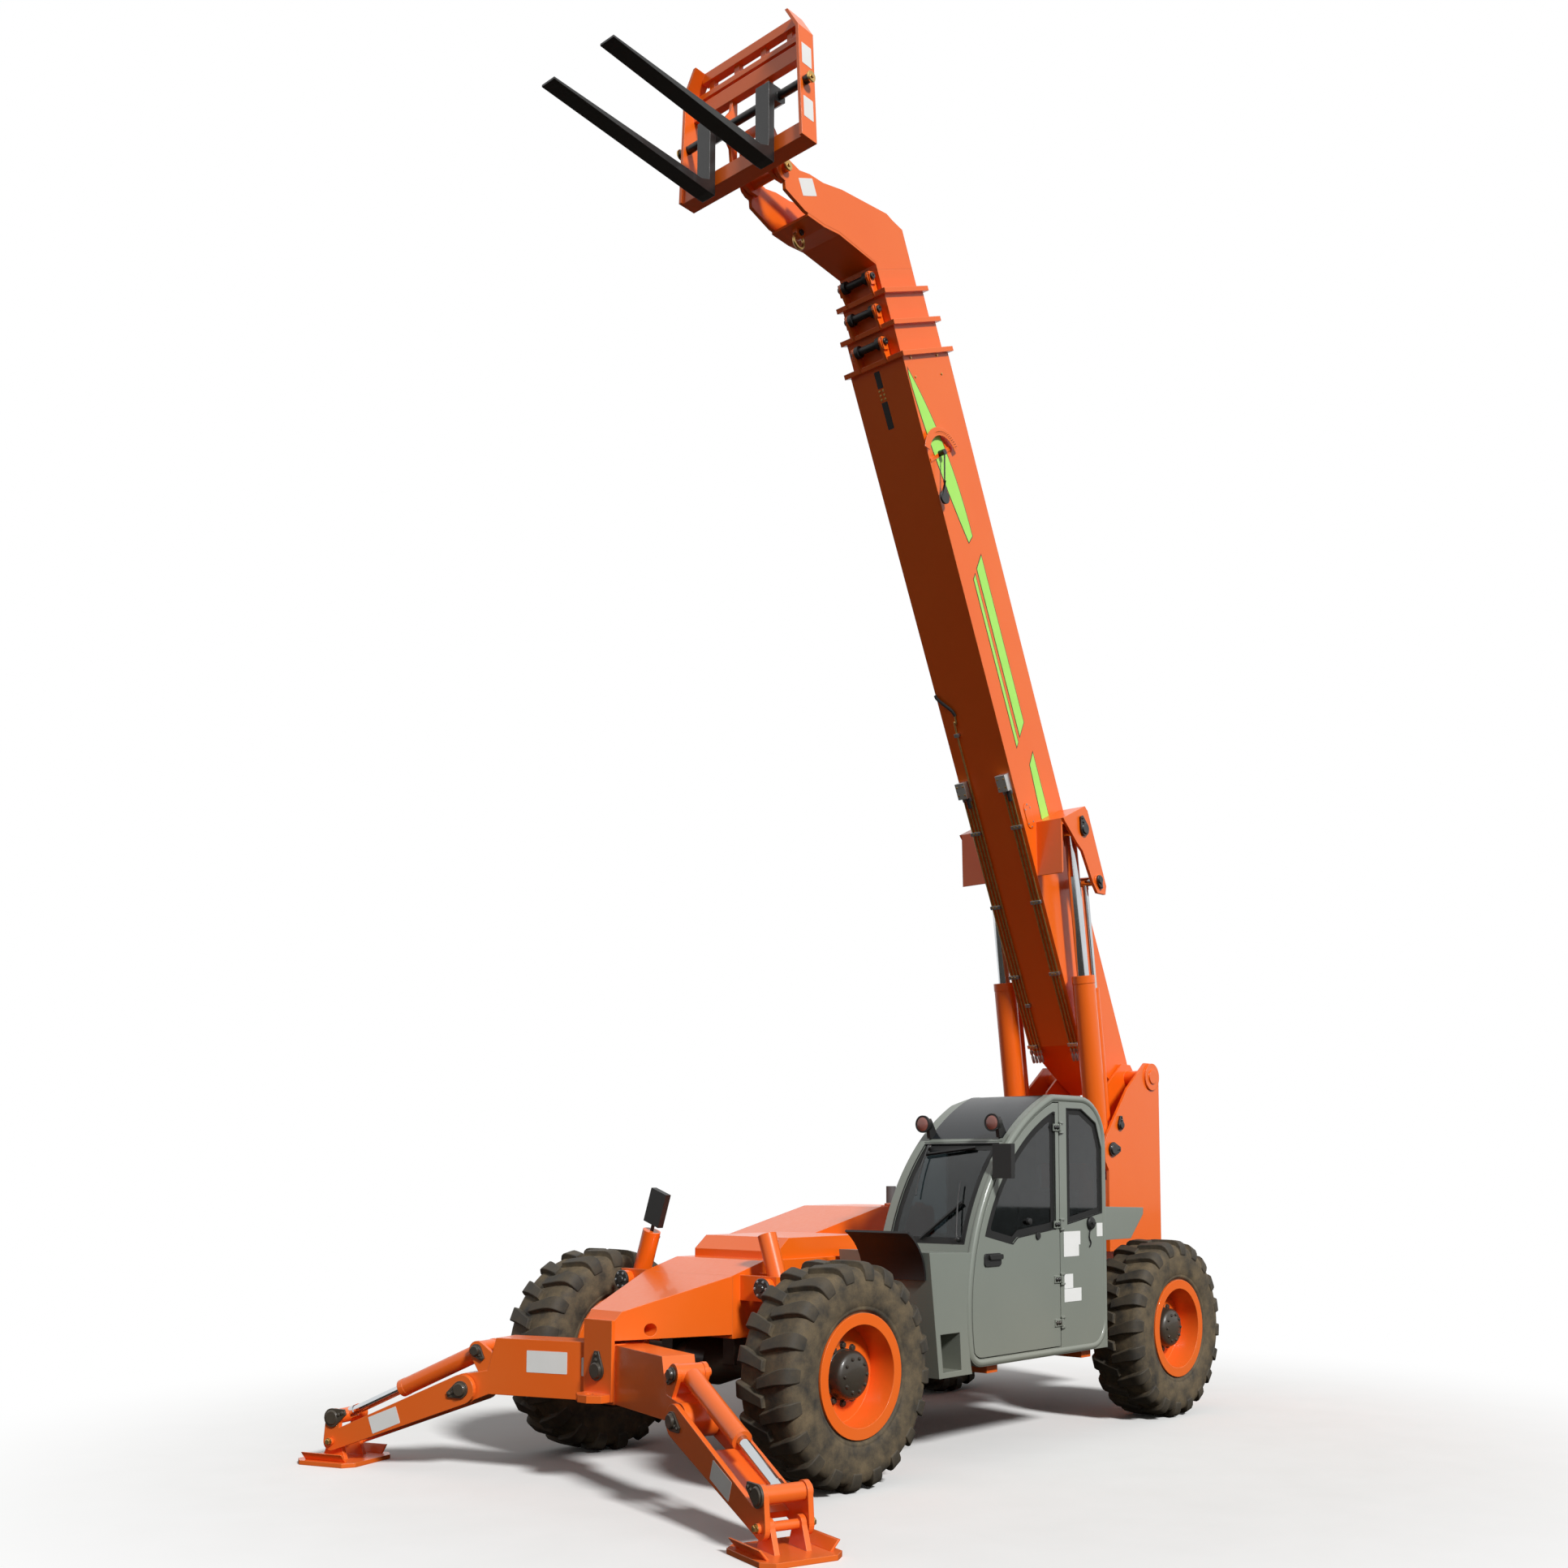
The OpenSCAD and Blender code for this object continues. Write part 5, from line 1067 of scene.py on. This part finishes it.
make_piece("hinge_bolts", *domes, black_enamel, "door", "black_paint", 60)
cord = smooth_path(machine([1150, 1160, 1140, 1155], CAB_OUT + 8, [1455, 1400, 1360, 1330]))
filler_at = machine(FILLER[0], CAB_OUT, FILLER[1])
cap = joined(
    [
        revolved([(46, 0), (46, 16), (40, 24), (24, 28), (0, 28)], filler_at, Y, 32),
        wall_slab(box_outline(44, 14, 5), *FILLER, CAB_OUT + 28, 12),
        swept(circle(9, 8), cord, up=Y),
    ]
)
make_piece("filler_cap", *cap, black_abs, "chassis", "black_paint")
plates = joined([wall_slab(box_outline(w, h, 4), x, z, CAB_OUT, LABEL_T) for x, z, w, h in PLATES])
make_piece("blank_plates", *plates, white_film, "chassis", "grey_paint", 0)
lamp_at = ARC_AT + ARC_R * np.array([np.cos(LAMP_TURN), np.sin(LAMP_TURN)]) + LAMP_OFF
lamps = [machine(lamp_at[0], y, lamp_at[1]) for y in (CAB_IN + 90, CAB_OUT - 90)]
bezels = [revolved([(61, -14), (61, 4), (52, 4), (50, -1), (50, -14)], p, X, 32) for p in lamps]
make_piece("lamp_bezels", *joined(bezels), black_abs, "chassis", "black_paint")
lenses = [revolved([(50, 0), (44, 4), (25, 7), (0, 8)], p, X, 32) for p in lamps]
make_piece("lamp_lenses", *joined(lenses), lamp_lens, "chassis", "tinted_glass", 60)
pane = slab(box_outline(132, 210, 18), machine(2311.5, CAB_OUT + 87, 1940), Y, Z, -2)
make_piece("mirror_pane", *pane, mirror_glass, "chassis", "chrome_rod", 0)
print("hinge bolts", len(dome_spots), "plates", len(PLATES))

# %% [markdown]
# The outriggers have their own ruler. A leg's hinge joint gives its place and its axis, and from those come
# the direction in which the leg points and the direction that faces the front.

# %% A leg's ruler
def leg_ruler(side, sign):
    """A leg's hinge, the way it points and the way to the front, read from its joint."""
    axis = np.array(joints["leg_" + side]["axis"])
    ahead = axis * np.sign(axis[0])
    return np.array(joints["leg_" + side]["pos_m"]), np.cross(Z, ahead) * sign, ahead


def on_leg(ruler, along, up, front=0.0):
    """A point at mm out along a leg, above its hinge and towards the front."""
    hinge, outward, ahead = ruler
    return hinge + MM * (along * outward + up * Z + front * ahead)


def leg_way(ruler, along, up):
    """A direction in a leg's upright plane."""
    way = along * ruler[1] + up * Z
    return way / np.linalg.norm(way)


print("left leg points", np.round(leg_ruler("left", 1)[1], 2).tolist())

# %% [markdown]
# The leg's pins carry retainers on the front side, and the foot turns on a big plated bolt. Its pad has
# upturned lips, and white plates on legs and arm are left blank. The legs are mirror images, so one loop
# makes both.

# %% Outrigger pins, plates and pad lips
LEG_FACE, ARM_FACE = 138.0, 100.0
CYLINDER_TOP, ROD_EYE, FOOT_PIN = (-84.0, 239.0), (988.0, -228.0), (1000.0, -380.0)
LEG_SLOPE = np.array(FOOT_PIN) / np.hypot(*FOOT_PIN)
EYE_R, EYE_HALF = 47.0, 106.5
FOOT_HALF = 156
PAD_HALF, PAD_TOP, LIP_RISE, LIP_LONG = 230.0, 28.0, 52.0, 320.0
PLATE_SHARE = 0.58
ARM_PLATES = [(-600, 190, 290, 132), (-890, 175, 86, 110)]
for side, sign in (("left", 1), ("right", -1)):
    leg = leg_ruler(side, sign)
    _, outward, ahead = leg
    down_leg = leg_way(leg, *LEG_SLOPE)
    top = retainer(on_leg(leg, *CYLINDER_TOP, ARM_FACE), ahead, 56, leg_way(leg, -1, -1), 27)
    make_piece(f"cylinder_retainer_{side}", *top, black_enamel, "chassis", "black_paint")
    low = [
        retainer(on_leg(leg, 0, 0, LEG_FACE), ahead, 74, down_leg, 24),
        retainer(on_leg(leg, *ROD_EYE, LEG_FACE), ahead, 82, -down_leg, 15),
    ]
    make_piece(f"leg_retainers_{side}", *joined(low), black_enamel, f"leg_{side}_body", "black_paint")
    ends = np.stack([on_leg(leg, *FOOT_PIN, s * FOOT_HALF) for s in SIDES])
    foot_bolts = stamped(bolt_head(22), ends, np.stack([-ahead, ahead]))
    make_piece(f"foot_bolts_{side}", *foot_bolts, yellow_zinc, f"foot_{side}_body", "chrome_rod")
    sleeve = revolved([(EYE_R, -EYE_HALF), (EYE_R, EYE_HALF)], on_leg(leg, *ROD_EYE), ahead, 36)
    make_piece(f"rod_eye_sleeve_{side}", *sleeve, orange_enamel, f"leg_rod_{side}_body", "orange_paint")
    ground = on_leg(leg, FOOT_PIN[0], 0) * [1, 1, 0]
    lip_form = np.array([(-62, -1), (-46, -1), (-1, LIP_RISE), (-17, LIP_RISE)]) + [PAD_HALF, PAD_TOP]
    lips = [
        slab(lip_form, ground - MM * LIP_LONG / 2 * s * outward, s * ahead, Z, -LIP_LONG * sign)
        for s in SIDES
    ]
    make_piece(f"pad_lips_{side}", *joined(lips), orange_enamel, f"foot_{side}_body", "orange_paint", bevel=3)
    middle = on_leg(leg, *(PLATE_SHARE * np.array(FOOT_PIN)), LEG_FACE)
    label = slab(box_outline(228, 108, 5), middle, down_leg, np.cross(ahead, down_leg), LABEL_T)
    make_piece(f"leg_plate_{side}", *label, white_film, f"leg_{side}_body", "grey_paint", 0)
# The arm's plates lie on the right arm, and the loop above ends with that side.
arm_plates = [
    slab(box_outline(w, h, 5), on_leg(leg, along, up, ARM_FACE), -outward, Z, LABEL_T)
    for along, up, w, h in ARM_PLATES
]
make_piece("arm_plates", *joined(arm_plates), white_film, "chassis", "grey_paint", 0)
print("arm plates:", len(ARM_PLATES))

# %% [markdown]
# Two short cylinders level the frame on its front axle. Each hangs in a trunnion, closed by a black cap with
# six bolts, and is fed by a steel line that runs up its rear side. The nose pin gets its retainer too.

# %% Levelling cylinders and nose
CAP_R, CAP_T, CAP_RING, CAP_BOLTS = 63, 17, 47, 6
CAP_FORM = [(CAP_R, 0), (CAP_R, 12), (CAP_R - 5, CAP_T), (26, CAP_T), (22, 24), (0, 24)]
SWAY_X, SWAY_FOOT, SWAY_TOP = 3810, np.array([740.0, 867.0]), np.array([528.0, 1480.0])
TRUNNION_SHARE = 0.48
LINE_SHARE = np.array([0.42, 0.5, 0.8, 0.9, 0.93])[:, None]
LINE_BACK = np.array([66, 76, 76, 76, 62])
LINE_FITTING, FITTING_BACK = [(16, -6), (16, 16), (12, 22)], 58
NOSE_PIN, NOSE_PIN_D = machine(4715, 0, 691), 84
trunnion = reach("sway_cylinders", X, machine(0, 0, 0))[1]
cap_y, cap_z = SWAY_FOOT + TRUNNION_SHARE * (SWAY_TOP - SWAY_FOOT)
line_y, line_z = (SWAY_FOOT + LINE_SHARE * (SWAY_TOP - SWAY_FOOT)).T
caps, cap_bolts, lines = [], [], []
for s in SIDES:
    centre = machine(trunnion, s * cap_y, cap_z)
    caps.append(revolved(CAP_FORM, centre, X, 40))
    cap_bolts.append(stamped(bolt_head(8), ring(centre, X, CAP_RING, CAP_T, CAP_BOLTS), X))
    path = smooth_path(machine(SWAY_X - LINE_BACK, s * line_y, line_z))
    lines.append(swept(circle(14, 8), path, up=X))
    for end in (0, -1):
        fitting_at = machine(SWAY_X - FITTING_BACK, s * line_y[end], line_z[end])
        lines.append(revolved(LINE_FITTING, fitting_at, -X, 6))
make_piece("trunnion_caps", *joined(caps), black_enamel, "chassis", "black_paint")
make_piece("trunnion_bolts", *joined(cap_bolts), bright_zinc, "chassis", "chrome_rod")
make_piece("levelling_lines", *joined(lines), bright_zinc, "chassis", "chrome_rod", 60)
nose_cover = retainer(NOSE_PIN, X, NOSE_PIN_D, Z, 22)
make_piece("nose_retainer", *nose_cover, black_enamel, "chassis", "black_paint")
print("trunnion caps at", round(trunnion), "mm ahead of the rear axle")

# %% [markdown]
# At each boom head a spool roller carries the hoses over to the next section. Its pin is held in a raised
# block on either side by a round black cap with a socket.

# %% Roller caps
EAR_OUT, BLOCK_T = 140.0, 13.0
SOCKET = [(25, 0), (25, 12), (21, 16), (9, 16), (8, 10), (0, 10)]
SECTIONS = ("base", "second", "third")
for section in SECTIONS:
    roller, body = "rollers_" + section, f"boom_{section}_body"
    along, up = np.mean(reach(roller, ALONG)), np.mean(reach(roller, ABOVE))
    raised = [side_slab(at(box_outline(92, 58, 4), along - 12, up), s, EAR_OUT, BLOCK_T) for s in SIDES]
    make_piece(f"{roller}_blocks", *joined(raised), orange_enamel, body, "orange_paint", bevel=2)
    round_caps = [revolved(SOCKET, on_boom(along, s * (EAR_OUT + BLOCK_T), up), s * Y, 28) for s in SIDES]
    make_piece(f"{roller}_caps", *joined(round_caps), black_enamel, body, "black_paint")
print("roller caps:", 2 * len(SECTIONS))

# %% [markdown]
# The gooseneck carries a lifting lug with a plated ring, a blank white plate, and a hand hole in its lower
# web that is painted shade, a thin black plate. It is drawn from the head of the fly section, which lies a
# known reach behind the tilt pin.

# %% Lifting lug and hand hole
TILT_PIN = np.array(joints["carriage_tilt"]["pos_m"])
GOOSE_REACH = 605
FLY_HEAD = (TILT_PIN - PIVOT) @ ALONG / MM - GOOSE_REACH
WEB_CORNERS = np.array([(-35.0, -437.0), (178.0, -790.0), (229.0, -948.0), (305.0, -1104.0)])
WEB_ROOT, WEB_KNEE, WEB_BEND, WEB_TIP = WEB_CORNERS
BOSS_T = 30
GOOSE_BOSS = reach("gooseneck", Y)[1]
LUG_R, LUG_HIGH, LUG_T = 44, 36, 44
RING_R = 52


def on_web(a, b, share):
    """A point on the lower web between two of its corners, with the ways along it and out of it."""
    way = (b - a) / np.hypot(*(b - a))
    along, up = a + share * (b - a)
    return on_boom(FLY_HEAD + along, 0, up), way[0] * ALONG + way[1] * ABOVE, way[1] * ALONG - way[0] * ABOVE


lug_at, web_way, web_out = on_web(WEB_BEND, WEB_TIP, 0.45)
half_turn = np.radians(np.linspace(-90, 90, 17))
lug_top = np.stack([LUG_R * np.sin(half_turn), LUG_HIGH + LUG_R * np.cos(half_turn)], 1)
lug_outline = np.concatenate([[(-52, -6)], lug_top, [(52, -6)]])
lug_way = np.sign(np.cross(web_way, web_out)[1])
lug = slab(lug_outline, lug_at - LUG_T / 2 * MM * Y, web_way, web_out, LUG_T * lug_way)
make_piece("lifting_lug", *lug, orange_enamel, "boom_fly_body", "orange_paint", bevel=3)
eye = lug_at + 40 * MM * web_out
ring_turn = np.linspace(0, 2 * np.pi, 40, endpoint=False)[:, None]
ring_line = eye + RING_R * MM * (np.cos(ring_turn) * X + np.sin(ring_turn) * Z - Z)
lifting_ring = swept(circle(24), ring_line, Y, True)
make_piece("lifting_ring", *lifting_ring, yellow_zinc, "boom_fly_body", "chrome_rod", 60)
eye_pin = revolved([(20, -36), (20, 36), (0, 36)], eye, Y, 20)
make_piece("lifting_pin", *eye_pin, black_enamel, "boom_fly_body", "black_paint")
# The hand hole is painted shade: a thin black plate laid on the web, where the dark inside of a hole would
# show.
hole_at, hole_way, hole_out = on_web(WEB_ROOT, WEB_KNEE, 0.36)
hole = slab(box_outline(110, 150, 8), hole_at, hole_way, Y, 1.5 * np.sign(np.cross(hole_way, Y) @ hole_out))
make_piece("gooseneck_hand_hole_shade", *hole, seal_rubber, "boom_fly_body", "roller_black", 0)
notice_at = on_boom(FLY_HEAD + 480, GOOSE_BOSS - BOSS_T, -1030)
notice = slab(box_outline(120, 160, 5), notice_at, ALONG, ABOVE, -LABEL_T)
make_piece("gooseneck_plate", *notice, white_film, "boom_fly_body", "grey_paint", 0)
print("fly head", round(FLY_HEAD), "mm along the boom")

# %% [markdown]
# The tilt pin and the fork shaft end in plated caps, turned parts with a shoulder. The cheeks of the
# carriage lean in a little, so their blank plates lean with them. All is drawn from the tilt pin.

# %% Pin caps and carriage plates
PIN_CAP = [(38, 0), (38, 10), (33, 15), (14, 15), (12, 24), (0, 24)]
tip_caps = [revolved(PIN_CAP, TILT_PIN + s * MM * GOOSE_BOSS * Y, s * Y, 24) for s in SIDES]
make_piece("tilt_pin_caps", *joined(tip_caps), yellow_zinc, "boom_fly_body", "chrome_rod")
shaft_out = reach("forks", Y)[1]
shaft_at = TILT_PIN + MM * (228 * X + 333 * Z)
shaft_caps = [revolved(PIN_CAP, shaft_at + s * MM * shaft_out * Y, s * Y, 24) for s in SIDES]
make_piece("fork_shaft_caps", *joined(shaft_caps), yellow_zinc, "carriage", "chrome_rod")
# The carriage's cheeks lean in by 40 mm over their 805 mm, from 80 mm below the tilt pin up.
CHEEK_X, CHEEK_Y, CHEEK_LEAN, CHEEK_HIGH, CHEEK_LOW = 203, 600, 40, 805, 80
cheek_way = np.array([0, -CHEEK_LEAN, CHEEK_HIGH]) / np.hypot(CHEEK_LEAN, CHEEK_HIGH)
cheek_plates = []
for z in (140, 530):
    cheek_y = CHEEK_Y - CHEEK_LEAN * (z + CHEEK_LOW) / CHEEK_HIGH
    cheek_at = TILT_PIN + MM * np.array([CHEEK_X, cheek_y, z])
    cheek_plates.append(slab(box_outline(96, 150, 5), cheek_at, -X, cheek_way, LABEL_T))
make_piece("carriage_plates", *joined(cheek_plates), white_film, "carriage", "grey_paint", 0)
print("fork shaft ends", round(shaft_out), "mm out")

# %% [markdown]
# The seat is foam under vinyl. Its frame solid is a plain block, and a real cushion is not: foam pushes the
# cover out in the middle of each side, and the cover holds it back at the corners and at the piped seam. So
# a rounded block is remeshed into even cells and blown up a little as cloth, with no point moving further
# than the cover could stretch.

# %% A stuffed block
SEAT_CELL, SEAT_PRESSURE, SEAT_FRAMES, SEAT_STRETCH = 8, 4, 20, 15
CORNER_R = 30.0


def rounded_block(half, centre, axes, steps=32):
    """A block with round edges: each direction n of a sphere gives sign(n) (half - r) + r n."""
    around = (np.arange(steps) + 0.5) * 2 * np.pi / steps
    rise = np.linspace(-np.pi / 2, np.pi / 2, steps)[:, None]
    flat = np.cos(rise)
    n = np.stack([flat * np.cos(around), flat * np.sin(around), np.sin(rise) + 0 * around], -1)
    level = np.stack([np.cos(around), np.sin(around), 0 * around], -1)
    quarter = level + [0, 0, 1] * np.sign(rise)[..., None]
    local = np.sign(quarter) * (np.asarray(half) - CORNER_R) + CORNER_R * n
    faces = [tuple(f) for f in grid_faces(steps, steps, around=True)]
    caps = [tuple(range(steps))[::-1], tuple(range(steps * (steps - 1), steps * steps))]
    return (np.asarray(centre) + MM * local @ np.asarray(axes)).reshape(-1, 3), faces + caps


def baked(piece):
    """The piece with its modifiers made part of its mesh."""
    view = bpy.context.evaluated_depsgraph_get()
    mesh = bpy.data.meshes.new_from_object(piece.evaluated_get(view))
    piece.modifiers.clear()
    piece.data = mesh
    return piece


def spots(mesh):
    """The mesh's points as one array."""
    flat = np.empty(3 * len(mesh.vertices))
    mesh.vertices.foreach_get("co", flat)
    return flat.reshape(-1, 3)


def stuffed(piece):
    """Even cells, then cloth under pressure; each point's move is cut to the stretch of the cover."""
    cells = piece.modifiers.new("even cells", "REMESH")
    cells.mode, cells.voxel_size = "VOXEL", SEAT_CELL * MM
    before = spots(baked(piece).data)
    cover = piece.modifiers.new("cover", "CLOTH")
    cover.settings.use_pressure = True
    cover.settings.uniform_pressure_force = SEAT_PRESSURE
    cover.settings.effector_weights.gravity = 0
    cover.point_cache.frame_end = SEAT_FRAMES
    for frame_number in range(1, SEAT_FRAMES + 1):
        bpy.context.scene.frame_set(frame_number)
    move = spots(baked(piece).data) - before
    far = np.linalg.norm(move, axis=1, keepdims=True)
    cut = move * np.minimum(1, SEAT_STRETCH * MM / np.maximum(far, 1e-9))
    piece.data.vertices.foreach_set("co", (before + cut).ravel())
    bpy.context.scene.frame_set(1)
    piece.data.polygons.foreach_set("use_smooth", np.ones(len(piece.data.polygons), bool))
    finer = piece.modifiers.new("finer cells", "SUBSURF")
    finer.levels = finer.render_levels = 1
    return piece


print("cells of", SEAT_CELL, "mm, moved by", SEAT_STRETCH, "mm at most")

# %% [markdown]
# The seat has two such blocks, the cushion and the leaning back. The piped seam is a cord: points round the
# block are put down on the nearest place of the stuffed cover, and a circle is carried along them.

# %% Seat cushions
SEAT_Y = 872.5
BACK_LEAN, BACK_HIGH = 75, 640
PIPING_D, PIPING_UP = 8, 34
back_up = np.array([-BACK_LEAN, 0, BACK_HIGH]) / np.hypot(BACK_LEAN, BACK_HIGH)
back_out = np.cross(Y, back_up)
CUSHIONS = {
    "seat_cushion": ((270, 258, 74), machine(1460, SEAT_Y, 1042), (X, Y, Z)),
    "seat_back": ((338, 242, 74), machine(1213, SEAT_Y, 1418), (back_up, -Y, back_out)),
}
for name, (half, centre, axes) in CUSHIONS.items():
    pad = make_piece(name, *rounded_block(half, centre, axes), seat_vinyl, "chassis", "seat_black")
    stuffed(pad)
    pad.data.materials.clear()
    pad.data.materials.append(seat_vinyl)
    hoop = box_outline(2 * half[0], 2 * half[1], CORNER_R, 8)
    share = np.linspace(0, 1, 8, endpoint=False)[:, None]
    hoop = (hoop[:, None] + share * (np.roll(hoop, -1, 0) - hoop)[:, None]).reshape(-1, 2)
    guess = centre + MM * (hoop[:, :1] * axes[0] + hoop[:, 1:] * axes[1] + PIPING_UP * axes[2])
    laid = np.array([pad.closest_point_on_mesh(Vector(p))[1] for p in guess])
    piping = swept(circle(PIPING_D, 8), laid, up=axes[2], closed=True)
    make_piece(name + "_piping", *piping, seal_rubber, "chassis", "seat_black", 60)
    print(name, "cells", len(pad.data.polygons))

# %% [markdown]
# The machine stands on a pale studio floor under one broad lamp and a white room. The lamp is high on the
# machine's left, so that side is bright and the underside of the boom falls into shade. The room lights
# softly, but where the eye, a mirror or glass looks straight at it, it is plain white: the Light Path node
# tells those rays apart.

# %% Room and lamp
def white_room_rays(tree):
    """1 for rays that see the room itself: from the camera, off a mirror or through glass."""
    path = add(tree, "LightPath").outputs
    seen = add(tree, "Math", {0: path["Is Camera Ray"], 1: path["Is Transmission Ray"]}, operation="MAXIMUM")
    return add(tree, "Math", {0: seen.outputs[0], 1: path["Is Glossy Ray"]}, operation="MAXIMUM").outputs[0]


ROOM_LIGHT = 0.24
LAMP_LIGHT = 3.3
LAMP_FROM = Vector((0.22, 0.78, 0.6))
world = bpy.data.worlds.new("white_room")
bpy.context.scene.world = world
world.use_nodes = True
room = world.node_tree
room.nodes.clear()
level = add(room, "MapRange", {"Value": white_room_rays(room), "To Min": ROOM_LIGHT, "To Max": 1.0})
glow = add(room, "Background", {"Color": (1, 1, 1, 1), "Strength": level.outputs[0]})
add(room, "OutputWorld", {"Surface": glow.outputs[0]})

lamp = bpy.data.lights.new("studio_lamp", "SUN")
lamp.energy, lamp.angle = LAMP_LIGHT, np.radians(9)
lamp_object = bpy.data.objects.new("studio_lamp", lamp)
lamp_object.rotation_mode = "QUATERNION"
lamp_object.rotation_quaternion = LAMP_FROM.to_track_quat("Z", "Y")
bpy.context.scene.collection.objects.link(lamp_object)
print("lamp from", tuple(LAMP_FROM), "room at", ROOM_LIGHT)

# %% [markdown]
# The floor is pale sealed concrete, matt and nearly white, and keeps the machine's shadow. With distance it
# turns into the room's own white, so no horizon shows.

# %% Floor
FLOOR_REACH = 60
FADE_FROM, FADE_TO = 3.0, 7.0
floor_finish = bpy.data.materials.new("pale_sealed_concrete")
floor_finish.use_nodes = True
tree = floor_finish.node_tree
tree.nodes.clear()
place = add(tree, "TexCoord").outputs["Object"]
speckle = add(tree, "TexNoise", {"Vector": place, "Scale": per_mm(400), "Detail": 5.0})
pale = add(
    tree, "Mix", {"Factor": speckle.outputs[0], "A": rgb("#f6f6f4"), "B": rgb("#fdfdfc")}, data_type="RGBA"
)
# To other surfaces the floor counts as dark ground, so that little light comes back up under the boom.
path = add(tree, "LightPath").outputs
straight = add(tree, "Math", {0: path["Is Camera Ray"], 1: path["Is Transmission Ray"]}, operation="MAXIMUM")
ground = add(
    tree,
    "Mix",
    {"Factor": straight.outputs[0], "A": rgb("#4c4843"), "B": pale.outputs["Result"]},
    data_type="RGBA",
)
matt = add(tree, "BsdfDiffuse", {"Color": ground.outputs["Result"]})
white = add(tree, "Emission", {"Color": (1, 1, 1, 1), "Strength": 1.0})
far = add(tree, "VectorMath", {0: place}, operation="LENGTH")
away = add(
    tree,
    "MapRange",
    {"Value": far.outputs["Value"], "From Min": FADE_FROM, "From Max": FADE_TO},
    interpolation_type="SMOOTHSTEP",
)
seen = add(tree, "Math", {0: away.outputs[0], 1: straight.outputs[0]}, operation="MULTIPLY")
blend = add(tree, "MixShader", {0: seen.outputs[0], 1: matt.outputs[0], 2: white.outputs[0]})
add(tree, "OutputMaterial", {"Surface": blend.outputs[0]})
side = np.array([-1, 1]) * FLOOR_REACH
floor_mesh = bpy.data.meshes.new("studio_floor")
corners = np.stack([*np.meshgrid(side, side), np.full((2, 2), -0.5 * MM)], -1).reshape(-1, 3)
floor_mesh.from_pydata(corners.tolist(), [], [(0, 1, 3, 2)])
floor_mesh.materials.append(floor_finish)
floor = bpy.data.objects.new("studio_floor", floor_mesh)
bpy.context.scene.collection.objects.link(floor)
bpy.context.scene.view_settings.view_transform = "Standard"
print("floor reaches", FLOOR_REACH, "m")

# %% [markdown]
# The camera stands where the photographer stood: in front of the machine's left corner, at about eye
# height, tilted up a little. Its place, turn and lens were fitted to points whose real sizes are known,
# such as the tyres, and the shift keeps the picture's frame without tilting the camera further.

# %% Camera
CAMERA_AT = Vector((8.861, 7.367, 1.875))
CAMERA_YAW, CAMERA_PITCH = np.radians(220.69), np.radians(5.10)
level_way = np.cos(CAMERA_PITCH) * np.array([np.cos(CAMERA_YAW), np.sin(CAMERA_YAW)])
look = Vector((*level_way, np.sin(CAMERA_PITCH)))
lens = bpy.data.cameras.new("photo_camera")
lens.sensor_width, lens.lens = 36, 36.317
lens.shift_x, lens.shift_y = -0.0403, 0.1567
lens.clip_end = 500
camera = bpy.data.objects.new("photo_camera", lens)
camera.location = CAMERA_AT
camera.rotation_mode = "QUATERNION"
camera.rotation_quaternion = look.to_track_quat("-Z", "Y")
bpy.context.scene.collection.objects.link(camera)
bpy.context.scene.camera = camera
print("camera at", tuple(CAMERA_AT), "lens", lens.lens, "mm")
